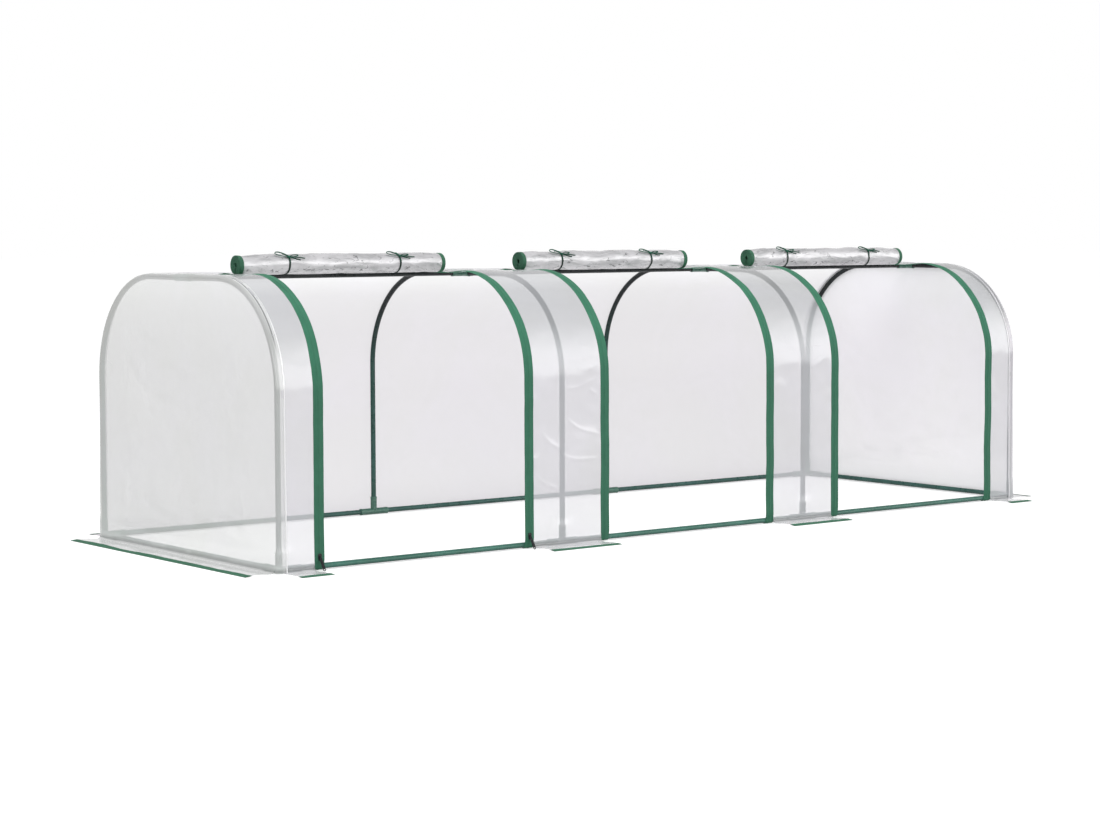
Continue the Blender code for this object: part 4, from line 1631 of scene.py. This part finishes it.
@dataclass(frozen=True)
class ClearCover:
    """All of the fixed film, with its hems. Each film's painted light and shade runs from the ground up to the roof."""

    layout: Layout
    seam_inset: float = 0.0163
    lap: float = 0.0003
    # Front film: painted shade under the base rail, a painted highlight over its top, and painted shade on the bend.
    front_tones: Tones = (
        (0.0, grey(0.70)), (0.003, grey(0.70)), (0.005, grey(0.22)), (0.012, grey(0.40)), (0.018, grey(0.82)),
        (0.03, grey(0.72)), (0.13, grey(0.72)), (0.17, grey(0.665)), (0.48, grey(0.655)), (0.62, (0.55, 0.565, 0.57)),
        (0.71, (0.465, 0.48, 0.485)), (0.755, (0.475, 0.49, 0.495)), (0.785, (0.58, 0.595, 0.60)),
        (0.80, (0.53, 0.54, 0.545)))
    # Rear film: painted light that grows towards the roof, as light from above shines through it.
    rear_tones: Tones = (
        (0.0, (0.57, 0.55, 0.575)), (0.20, (0.58, 0.56, 0.585)), (0.40, (0.615, 0.59, 0.62)),
        (0.60, (0.675, 0.65, 0.68)), (0.72, (0.72, 0.705, 0.725)), (0.78, (0.81, 0.81, 0.81)))
    # Near end: painted shade under the base rail, a painted highlight over its top, and painted light growing towards
    # the roof.
    near_end_tones: Tones = (
        (0.0, tinted(0.68)), (0.003, tinted(0.68)), (0.005, tinted(0.36)), (0.012, tinted(0.66)),
        (0.018, tinted(0.94)), (0.03, tinted(0.76)), (0.08, tinted(0.74)), (0.14, tinted(0.70)), (0.35, tinted(0.715)),
        (0.55, tinted(0.74)), (0.68, tinted(0.79)), (0.76, tinted(0.84)), (0.80, tinted(0.82)))
    # Far end: painted shade at the foot and painted light growing towards the roof.
    far_end_tones: Tones = (
        (0.0, grey(0.56)), (0.03, grey(0.74)), (0.14, (0.79, 0.765, 0.80)), (0.55, (0.83, 0.80, 0.84)),
        (0.80, grey(0.93)))

    def hem_edges(self, side: Side, span: Pair) -> tuple[Array, Array]:
        """Find points along a long side's skirt, on its outer edge and where its hem tape ends.

        Args:
            side: Which long side.
            span: Where the hem starts and ends.

        Returns:
            The outer and the inner points.
        """
        cover = Cover(self.layout, side)
        x = np.linspace(*span, max(12, round((span[1] - span[0]) / 0.012)))
        return tuple(cover.place(np.full_like(x, cover.path.skirt_end - inward), x) for inward in (0.0, HemTape.width))

    def build(self, tape: GreenTape) -> None:
        """Build and dress every fixed sheet.

        Args:
            tape: The hem's tape.
        """
        size = self.layout
        seam = size.half_length - self.seam_inset
        films = {End.LEFT: ClearFilm("end film", self.near_end_tones, seam_x=seam).build(),
                 End.RIGHT: ClearFilm("far end film", self.far_end_tones, seam_x=seam, wear=0.0).build()}
        green = tape.build()
        front = ClearFilm("front film", self.front_tones, coat_roughness=0.16, wear=0.0).build()
        back = ClearFilm("rear film", self.rear_tones, gloss=0.0, roughness=0.3, wear=0.0, through=0.8).build()
        reach = size.half_length - size.end_inset
        span = (-reach, reach)
        LongFilm(size, Side.REAR, "rear_sheet", "rear_film", span, -size.ridge_seam).build(back)
        HemTape("hem_rear").build(self.hem_edges(Side.REAR, span), green, "rear_sheet")
        for index, span in enumerate(size.panel_x, start=1):
            name = f"front_panel_{index}"
            LongFilm(size, Side.FRONT, name, f"front_film_{index}", span, size.ridge_seam + self.lap, 84, 120,
                     0.0045).build(front)
            HemTape(f"hem_front_{index}").build(self.hem_edges(Side.FRONT, span), green, name)
        for end in End:
            wall = EndWall(size, end)
            wall.build(films[end])
            HemTape(f"hem_{end.word}").build(wall.hem_edges(), green, f"end_sheet_{end.word}")


@dataclass(frozen=True)
class ZipBand:
    """A zip's fixed tape, from the ridge down the front and round the base rail."""

    layout: Layout
    door: int
    end: End
    x: float
    thickness: float = 0.0012
    coil_half: float = 0.0024
    coil_height: float = 0.0006
    selvage: float = 0.0005
    bedding: float = 0.0004
    rail_gap: float = 0.0006
    wrap: float = math.radians(112.0)

    def section(self) -> Array:
        """Draw the tape with its zip coil standing along the middle.

        Returns:
            The section's points, as rows of two.
        """
        half, top = self.layout.band_width / 2, self.thickness / 2
        coil, selvage = self.coil_half, half - self.selvage
        right = [(coil * 0.5, top + self.coil_height), (coil, top), (half * 0.6, top), (selvage, top), (half, 0.0),
                 (selvage, -top)]
        left = [(-across, up) for across, up in reversed(right)]
        return np.array(left[1:] + right + [(0.0, -top), left[0]])

    def line(self) -> Array:
        """Find the tape's middle line, from the ridge down and round the rail.

        Returns:
            Points along it.
        """
        size = self.layout
        cover = Cover(size, Side.FRONT)
        path = cover.path
        length = stations((size.ridge_seam, path.roof, path.bend_end, path.down_to(size.base_z + 0.020)), (18, 44, 40))
        points = cover.place(length, np.full_like(length, self.x), self.thickness / 2 - self.bedding)
        radius = size.tube_radius + self.rail_gap + self.thickness / 2
        turn = -np.linspace(0.06, self.wrap, 12)
        around = np.stack([np.full_like(turn, self.x), -size.half_width - radius * np.cos(turn),
                           size.base_z + radius * np.sin(turn)], axis=1)
        above_rail = (self.x, -size.half_width - radius - 0.0006, size.base_z + 0.007)
        near = smooth_curve([points[-2], points[-1], above_rail, around[0], around[1]], 25)[7:-6]
        return np.concatenate([points, near, around[1:]])

    def build(self, material: Material) -> Piece:
        """Args:
            material: The tape with its coil.

        Returns:
            The tape.
        """
        line = self.line()
        across = np.tile(X_AXIS, (len(line), 1))
        out = np.cross(tangents(line), across)
        if out[0][2] < 0:
            out = -out
        word = f"{self.door}_{self.end.word}"
        name = f"band_{word}"
        mesh = sweep_mesh(name, line, across, out, self.section())
        band = settle(name, mesh, material, Slot.TAPE, stands_for=f"zip_band_{word}")
        panel = self.end.pick(self.door, self.door + 1)
        float(metres_along(line)[-1])
        return band


# The rolled doors


@dataclass(frozen=True)
class RolledDoor:
    """A door wound up on the roof: a spiral of film with taped side edges and two ties."""

    layout: Layout
    number: int
    radius: float = 0.031
    core: float = 0.008
    turns: float = 8.96
    film: float = 0.0008
    film_length: float = 1.18
    film_inset: float = 0.0006
    bed_gap: float = 0.0006
    steps: int = 30
    edge_steps: int = 22
    edge_width: float = 0.013
    edge_thickness: float = 0.00085
    roof_gap: float = 0.0021
    stacking: float = 0.94
    tie_place: float = 0.27
    pinch: float = 0.045
    pinch_reach: float = 0.011
    taper: float = 0.065
    taper_reach: float = 0.055
    dent: float = 0.00075
    crease: float = 0.00050
    swirl: float = 0.0004
    drop: float = 0.0076
    knot_angle: float = math.radians(130.0)

    @property
    def body(self) -> str:
        """The body that the roll turns over with."""
        return f"door_{self.number}"

    @property
    def span(self) -> Pair:
        """Where the roll starts and ends."""
        low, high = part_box(f"door_roll_{self.number}")
        return low.x, high.x

    @property
    def axis(self) -> Triple:
        """The roll's axis, and the seam that its lead comes from: Y, Z and the seam's Y."""
        low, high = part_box(f"door_roll_{self.number}")
        return low.y + self.radius + self.film / 2, low.z + self.radius + self.film / 2 - self.drop, high.y

    @property
    def ties(self) -> Pair:
        """Where the two ties are."""
        left, right = self.span
        return tuple((left + right) / 2 + end.value * self.tie_place * (right - left) for end in End)

    def spiral(self, steps: int) -> tuple[Array, Array]:
        """Wind the film from its lead's end under the roll in to the core.

        Args:
            steps: Points in each turn.

        Returns:
            The winding's angles and radii.
        """
        share = np.linspace(0.0, 1.0, round(self.turns * steps) + 1)
        return TURN * self.turns * share, self.radius + (self.core - self.radius) * share

    def waist(self, x: Array) -> Array:
        """Work out how the ties pull the roll in, and how it narrows at its ends.

        Args:
            x: Places along the tunnel.

        Returns:
            How much of its radius it keeps.
        """
        pull = sum(np.exp(-((x - tie) / self.pinch_reach) ** 2) for tie in self.ties)
        ends = sum(np.exp(-((x - edge) / self.taper_reach) ** 2) for edge in self.span)
        return 1 - self.pinch * pull - self.taper * ends

    def rumple(self, angle: Array, radius: Array, x: Array) -> Array:
        """Crinkle the film in a way that every turn shares, so that the turns stay apart.

        Args:
            angle: Where round the roll.
            radius: How far out.
            x: Places along the tunnel.

        Returns:
            How far the film is moved outward.
        """
        seed = 100 + 10 * self.number
        round_y, round_z = np.cos(angle) * self.radius, np.sin(angle) * self.radius
        broad, fine, third = Ripples(seed, 0.085, stretch=0.8), Ripples(seed + 1, 0.030), Ripples(seed + 2, 0.050)
        dents = self.dent * (broad(round_y, x * 0.6) + broad(round_z + 3.0, x * 0.6))
        creases = self.crease * (1 - np.abs(fine(round_y + 1.0, x * 0.7) + fine(round_z, x * 0.7)) * 0.9)
        swirls = self.swirl * third(x * 0.5, round_y) * third(round_z, x * 0.5)
        ends = smooth_step(x - self.span[0], 0.0, 0.03) * smooth_step(self.span[1] - x, 0.0, 0.03)
        return (dents + creases + swirls) * (radius / self.radius) * (0.3 + 0.7 * ends)

    def place(self, angle: Array, radius: Array, x: Array, lift: Array | float = 0.0) -> Array:
        """Find places on the winding, kept above the bands that it lies on.

        Args:
            angle: Where round the roll, 0 underneath and growing towards the front.
            radius: How far out.
            x: Places along the tunnel.
            lift: How far outside the film.

        Returns:
            The places, with a last dimension of three.
        """
        centre_y, centre_z, _ = self.axis
        waist = self.waist(x)
        out = radius * waist + self.rumple(angle, radius, x) + lift
        z = centre_z - out * np.cos(angle) - self.radius * (1 - waist) * 0.7
        floor = centre_z - self.radius + self.bed_gap + (self.radius - radius) * self.stacking
        z = np.where(np.cos(angle) > 0.5, np.maximum(z, floor), z)
        return np.stack([x, centre_y - out * np.sin(angle), z], axis=-1)

    def roof(self, y: Array) -> Array:
        """Find heights just above the bands on the roof, which the roll's lead lies on.

        Args:
            y: Places across the tunnel, in front of the ridge.

        Returns:
            The heights.
        """
        middle_x = np.full_like(y, sum(self.span) / 2)
        return Cover(self.layout, Side.FRONT).place(np.abs(y), middle_x, self.roof_gap)[..., 2]

    def with_lead(self, wound: Array, meet: Array | float, rows: int, sunk: Array | float = 0.0) -> Array:
        """Put the flat lead, which comes from the seam over the roof, before the winding.

        Args:
            wound: The winding's places.
            meet: The Y where the lead meets it.
            rows: How many rows of points the lead has, with the one where they meet.
            sunk: How far it lies below the usual height over the roof.

        Returns:
            The places of both.
        """
        seam_y = self.axis[2]
        y = np.linspace(seam_y, meet, rows)[:-1].reshape(rows - 1, -1)
        y = np.tile(y, (1, wound.shape[1] // y.shape[1]))
        join = smooth_step((y - seam_y) / (meet - seam_y), 0.5, 1.0)
        z = (self.roof(y) - sunk) * (1 - join) + wound[0, :, 2] * join
        return np.concatenate([np.stack([np.broadcast_to(wound[0, :, 0], y.shape), y, z], axis=-1), wound])

    def film_mesh(self) -> Mesh:
        """Shape the wound film with its flat lead.

        Returns:
            The mesh.
        """
        angle, radius = self.spiral(self.steps)
        left, right = self.span
        x = np.linspace(left + self.film_inset, right - self.film_inset, round((right - left) / 0.0105))
        angles, across = crossed(angle, x)
        wound = self.place(angles, radius[:, None] + 0 * across, across)
        points = self.with_lead(wound, wound[0, 0, 1], 12)
        cut = np.stack(crossed(metres_along(points[:, len(x) // 2]), x - left), axis=-1)
        return grid_mesh(f"rolled_door_{self.number}", points, cut)

    def edge_tape(self, end: End, material: Material) -> Piece:
        """Wind up the green tape along one side edge with the film.

        Args:
            end: Which end of the roll.
            material: The tape.

        Returns:
            The tape.
        """
        angle, radius = self.spiral(self.edge_steps)
        half, bevel = self.edge_width / 2, 0.0008
        centre = end.pick(*self.span) - end.value * half
        section = np.array([(-half, -1.0), (-half, 1.0), (-half + bevel, 1.15), (0.0, 1.15), (half - bevel, 1.15),
                            (half, 1.0), (half, -1.0), (0.0, -1.15)])
        angles, across = crossed(angle, section[:, 0])
        lift = np.broadcast_to(section[:, 1] * self.edge_thickness, angles.shape)
        wound = self.place(angles, radius[:, None] + 0 * across, centre + across, lift)
        points = self.with_lead(wound, wound[0, :, 1], 10, 0.3 * lift[:1])
        along = metres_along(points[:, 3])
        ring = np.concatenate([section, section[:1]]) * (1.0, self.edge_thickness)
        name = f"door_edge_{self.number}_{end.word}"
        mesh = grid_mesh(name, points, np.stack(crossed(along, metres_along(ring)), axis=-1), closed=True)
        tape = settle(name, mesh, material, Slot.TAPE, body=self.body)
        return tape

    def build(self, film: Material, edge: Material, cord: Material) -> None:
        """Build the roll, its taped edges and its ties.

        Args:
            film: The rolled film.
            edge: The tape on its edges.
            cord: The ties' tape.
        """
        roll = settle(f"rolled_door_{self.number}", self.film_mesh(), film, Slot.ROLLED_FILM, body=self.body,
                      stands_for=f"door_roll_{self.number}")
        for end in End:
            self.edge_tape(end, edge)
        ties = [BowTie(self, end).build(cord) for end in End]
        self.span[1] - self.span[0]


@dataclass(frozen=True)
class BowTie:
    """A narrow tape wrapped round a roll and tied in a bow on its upper front.

    The bow's ribbons are drawn beside the knot, in millimetres along the tunnel, up the roll and off it.
    """

    door: RolledDoor
    end: End
    width: float = 0.0060
    thickness: float = 0.0010
    knot: float = 0.0042
    knot_off: float = 0.0022
    knot_shape: Triple = (1.15, 0.85, 0.62)
    right_bow_rise: float = 0.86
    ribbons: tuple[tuple[float, tuple[Triple, ...]], ...] = (
        (0.0048, ((-1, 1, 1), (-14, 7.5, 3.5), (-31, 14.5, 4.5), (-43, 15, 4), (-45.5, 11, 3.5), (-36, 5.5, 3),
                  (-18, 1.5, 2), (-1, -1, 1))),
        (0.0044, ((1, 1, 1.2), (10, 4.5, 3), (24, 5, 3.5), (29.5, 2.5, 3), (20, 0.5, 2), (1, -0.6, 1))),
        (0.0048, ((1, 0.3, 2), (14, -1.6, 2.6), (30, -3.6, 2.2), (50, -7.0, 2.0))),
        (0.0048, ((1, -0.8, 1.6), (9, -4.6, 2.0), (21, -9.4, 1.6), (33, -12.6, 1.6))),
    )

    @property
    def x(self) -> float:
        """Where the tie is along the tunnel."""
        return self.end.pick(*self.door.ties)

    def on_roll(self, angle: float, off: float) -> Vector:
        """Find a place on or off the roll at the tie.

        Args:
            angle: Where round the roll.
            off: How far outside its surface.

        Returns:
            The place.
        """
        door = self.door
        return Vector(door.place(np.array(angle), np.array(door.radius), np.array(self.x), off + door.film / 2))

    def ribbon(self, points: Sequence[Sequence[float]], face: Vector, width: float, count: int = 40) -> Mesh:
        """Lay a ribbon along a smooth curve.

        Args:
            points: The points that it passes.
            face: The way that its flat side faces at its start.
            width: Its width.
            count: Stations along it.

        Returns:
            The mesh.
        """
        line = smooth_curve(points, count)
        out, across = frames_along(line, face)
        return sweep_mesh("ribbon", line, across, out, flat_section(width, self.thickness))

    def wrap(self) -> Mesh:
        """Wrap the tape round the roll, from the seam over it and back to the seam.

        Returns:
            The mesh.
        """
        door, count = self.door, 7
        seam_y = door.axis[2]
        angles = np.linspace(TURN - 0.36, 0.0, 46)
        around = np.array([self.on_roll(angle, self.thickness / 2 + 0.0002) for angle in angles])
        over_y = np.linspace(seam_y - 0.0006, around[0][1], count + 1)[:-1]
        under_y = np.linspace(around[-1][1], seam_y - 0.0085, count + 1)[1:]
        join = smooth_step(np.linspace(0.0, 1.0, count), 0.2, 1.0)
        over = (door.roof(over_y) + 0.0012) * (1 - join) + around[0][2] * join
        under = around[-1][2] * (1 - join) + (door.roof(under_y) - 0.0011) * join
        x = np.full(count, self.x)
        line = np.concatenate([np.stack([x, over_y, over], axis=1), around, np.stack([x, under_y, under], axis=1)])
        across = np.tile(X_AXIS, (len(line), 1))
        out = np.cross(across, tangents(line))
        return sweep_mesh("tie_wrap", line, across, out, flat_section(self.width, self.thickness))

    def rings(self, spot: Vector, up: Vector, out: Vector) -> list[Mesh]:
        """Wind the two turns of tape that close the knot.

        Args:
            spot: The knot's place.
            up: The way up the roll.
            out: The way off the roll.

        Returns:
            Their meshes.
        """
        meshes = []
        for lean in (-0.5, 0.6):
            slanted = (up + X_AXIS * lean * 0.4).normalized()
            ring = [spot + (X_AXIS * math.sin(angle) * 1.25 + slanted * math.cos(angle) * 0.62) * self.knot
                    + out * (0.0012 + 0.0016 * math.cos(2 * angle)) for angle in np.linspace(0, TURN, 9)]
            meshes.append(self.ribbon(ring, out, 0.0030, 34))
        return meshes

    def build(self, material: Material) -> Piece:
        """Tie the bow as one piece.

        Args:
            material: The tape.

        Returns:
            The tie.
        """
        angle = self.door.knot_angle
        spot = self.on_roll(angle, self.knot_off)
        out = (self.on_roll(angle, 1.0) - self.on_roll(angle, 0.0)).normalized()
        up = out.cross(X_AXIS)
        rise = 0.001 * self.end.pick(1.0, self.right_bow_rise)
        meshes = [self.wrap()]
        for width, knots in self.ribbons:
            points = [spot + X_AXIS * a * 0.001 + up * b * rise + out * (c * 0.001 + 0.0004) for a, b, c in knots]
            meshes.append(self.ribbon(points, up, width))
        bm = joined(meshes + self.rings(spot, up, out))
        core = bmesh.ops.create_icosphere(bm, subdivisions=3, radius=self.knot)["verts"]
        shape = Matrix.Translation(spot + out * 0.0012) @ Matrix((X_AXIS, up, out)).transposed().to_4x4()
        bmesh.ops.transform(bm, matrix=shape @ Matrix.Diagonal((*self.knot_shape, 1.0)), verts=core)
        soften(core)
        word = f"{self.door.number}_{self.end.word}"
        return settle(f"tie_{word}", finished("tie", bm), material, Slot.TAPE, body=self.door.body,
                      stands_for=f"door_tie_{word}")


@dataclass(frozen=True)
class ZipHardware:
    """The sliders and pulls, which keep the frame's own shapes with their edges rounded."""

    finish: ZipMetal = ZipMetal()
    edge: float = 0.00045

    def build(self) -> None:
        """Dress every slider and pull."""
        material = self.finish.build()
        for end in End:
            for kind in ("slider", "pull"):
                node = bpy.data.objects[f"zip_{kind}_{end.word}"]
                node.data.materials.clear()
                node.data.materials.append(material)
                rounding = node.modifiers.new("rounded_edges", "BEVEL")
                rounding.width = self.edge
                rounding.segments = 3
                rounding.limit_method = "ANGLE"
                rounding.angle_limit = math.radians(30.0)
                LOG.info("zip_%s_%s: rounded and enamelled", kind, end.word)


# The studio


@dataclass(frozen=True)
class Studio:
    """A white floor, soft light and the camera."""

    base_z: float
    azimuth: float = math.radians(-38.085)
    elevation: float = math.radians(4.324)
    roll: float = math.radians(-0.131)
    distance: float = 8.469
    target: Triple = (0.1722, 0.4074, 0.3)
    lens: float = 81.08
    sensor: float = 36.0
    floor_size: float = 120.0
    floor_glow: float = 0.42
    sky: float = 0.74
    wall_glow: float = 4.2
    back_glow: float = 0.8
    ceiling_glow: float = 0.30
    lamp_place: Triple = (-1.2, -2.2, 5.2)
    lamp_aim: Triple = (0.0, 0.0, 0.4)
    lamp_size: Pair = (7.0, 3.0)
    lamp_power: float = 150.0

    def floor(self) -> None:
        """Lay the floor: white to the camera, with the object's shadow kept."""
        graph = Graph("floor")
        rays = graph.node("LightPath").outputs
        seen = graph.most(rays["Is Camera Ray"], graph.most(rays["Is Glossy Ray"], rays["Is Transmission Ray"]))
        grain = graph.noise(graph.metres(), 90.0, 2.0)
        graph.set(Base_Color=graph.blend(grain, (0.80, 0.80, 0.80), (0.82, 0.82, 0.82)), Roughness=0.9,
                  Specular_IOR_Level=0.0, Emission_Color=(1.0, 1.0, 1.0),
                  Emission_Strength=graph.product(seen, self.floor_glow))
        bm = bmesh.new()
        bmesh.ops.create_grid(bm, x_segments=12, y_segments=12, size=self.floor_size / 2)
        mesh = finished("floor", bm)
        mesh.materials.append(graph.owner)
        in_scene("floor", mesh)

    def world(self) -> None:
        """Light everything evenly, and show white behind the object."""
        graph = Graph("studio", world=True)
        rays = graph.node("LightPath").outputs
        way = graph.axes(graph.node("TexCoord").outputs["Generated"])
        walls = graph.spread(way["Y"], -0.45, -0.05, self.wall_glow, self.back_glow, "LINEAR")
        mirrored = graph.spread(way["Z"], 0.32, 0.68, walls, self.ceiling_glow, "LINEAR")
        strength = graph.spread(rays["Is Glossy Ray"], 0.0, 1.0, self.sky, mirrored, "LINEAR")
        for kind in ("Is Camera Ray", "Is Transmission Ray"):
            strength = graph.spread(rays[kind], 0.0, 1.0, strength, 1.0, "LINEAR")
        graph.set(Color=(1.0, 1.0, 1.0), Strength=strength)
        bpy.context.scene.world = graph.owner

    def lamp(self) -> None:
        """Hang the soft overhead lamp, which nothing mirrors."""
        data = bpy.data.lights.new("overhead", "AREA")
        data.shape = "RECTANGLE"
        data.size, data.size_y = self.lamp_size
        data.energy = self.lamp_power
        place = Vector(self.lamp_place)
        turn = (place - Vector(self.lamp_aim)).to_track_quat("Z", "Y").to_matrix().to_4x4()
        in_scene("overhead", data, Matrix.Translation(place) @ turn).visible_glossy = False

    def camera(self) -> None:
        """Put the camera where the photograph was taken from."""
        back = Vector((math.sin(self.azimuth) * math.cos(self.elevation),
                       -math.cos(self.azimuth) * math.cos(self.elevation), math.sin(self.elevation)))
        right = Z_AXIS.cross(back).normalized()
        up = back.cross(right)
        level, tilt = math.cos(self.roll), math.sin(self.roll)
        axes = Matrix((right * level + up * tilt, up * level - right * tilt, back)).transposed().to_4x4()
        data = bpy.data.cameras.new("camera")
        data.lens = self.lens
        data.sensor_width = self.sensor
        data.sensor_fit = "HORIZONTAL"
        place = Vector(self.target) + Z_AXIS * self.base_z + back * self.distance
        bpy.context.scene.camera = in_scene("camera", data, Matrix.Translation(place) @ axes)

    def build(self) -> None:
        """Set up the whole studio."""
        self.floor()
        self.world()
        self.lamp()
        self.camera()
        bpy.context.scene.view_settings.view_transform = "Standard"
        LOG.info("studio ready")


def main() -> None:
    """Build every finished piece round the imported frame."""
    logging.basicConfig(level=logging.INFO, format="%(message)s")
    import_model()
    layout = Layout.measured()
    Studio(layout.base_z).build()
    TubeFrame(layout).build()
    ConnectorSet(layout).build()
    ClearCover(layout).build(GreenTape("hem tape", width=HemTape.width, stitch_rows=(0.003,)))
    # The zip tape is painted lighter on the bend and roof: painted light from above.
    band_tape = GreenTape("zip tape", width=layout.band_width, stitch_rows=(0.004, 0.029), coil_half=ZipBand.coil_half,
                          tones=((0.0, grey(0.72)), (0.48, grey(0.72)), (0.60, grey(0.90)), (0.68, grey(0.97)),
                                 (0.82, grey(0.95)))).build()
    for door, places in enumerate(layout.band_x, start=1):
        for end, x in zip(End, places):
            ZipBand(layout, door, end, x).build(band_tape)
    rolled = RolledFilm().build()
    edge = GreenTape("door edge tape", colour=(0.034, 0.118, 0.070), pale=(0.052, 0.160, 0.096),
                     width=RolledDoor.edge_width).build()
    # The ties are painted nearly black below the roll's middle: painted shade on their lower half.
    cord = GreenTape("tie tape", colour=(0.016, 0.080, 0.048), pale=(0.030, 0.120, 0.075), width=BowTie.width,
                     tones=((0.0, grey(0.08)), (0.832, grey(0.08)), (0.852, grey(0.40)), (0.862, grey(1.0)))).build()
    for number in (1, 2, 3):
        RolledDoor(layout, number).build(rolled, edge, cord)
    ZipHardware().build()


if __name__ == "__main__":
    main()
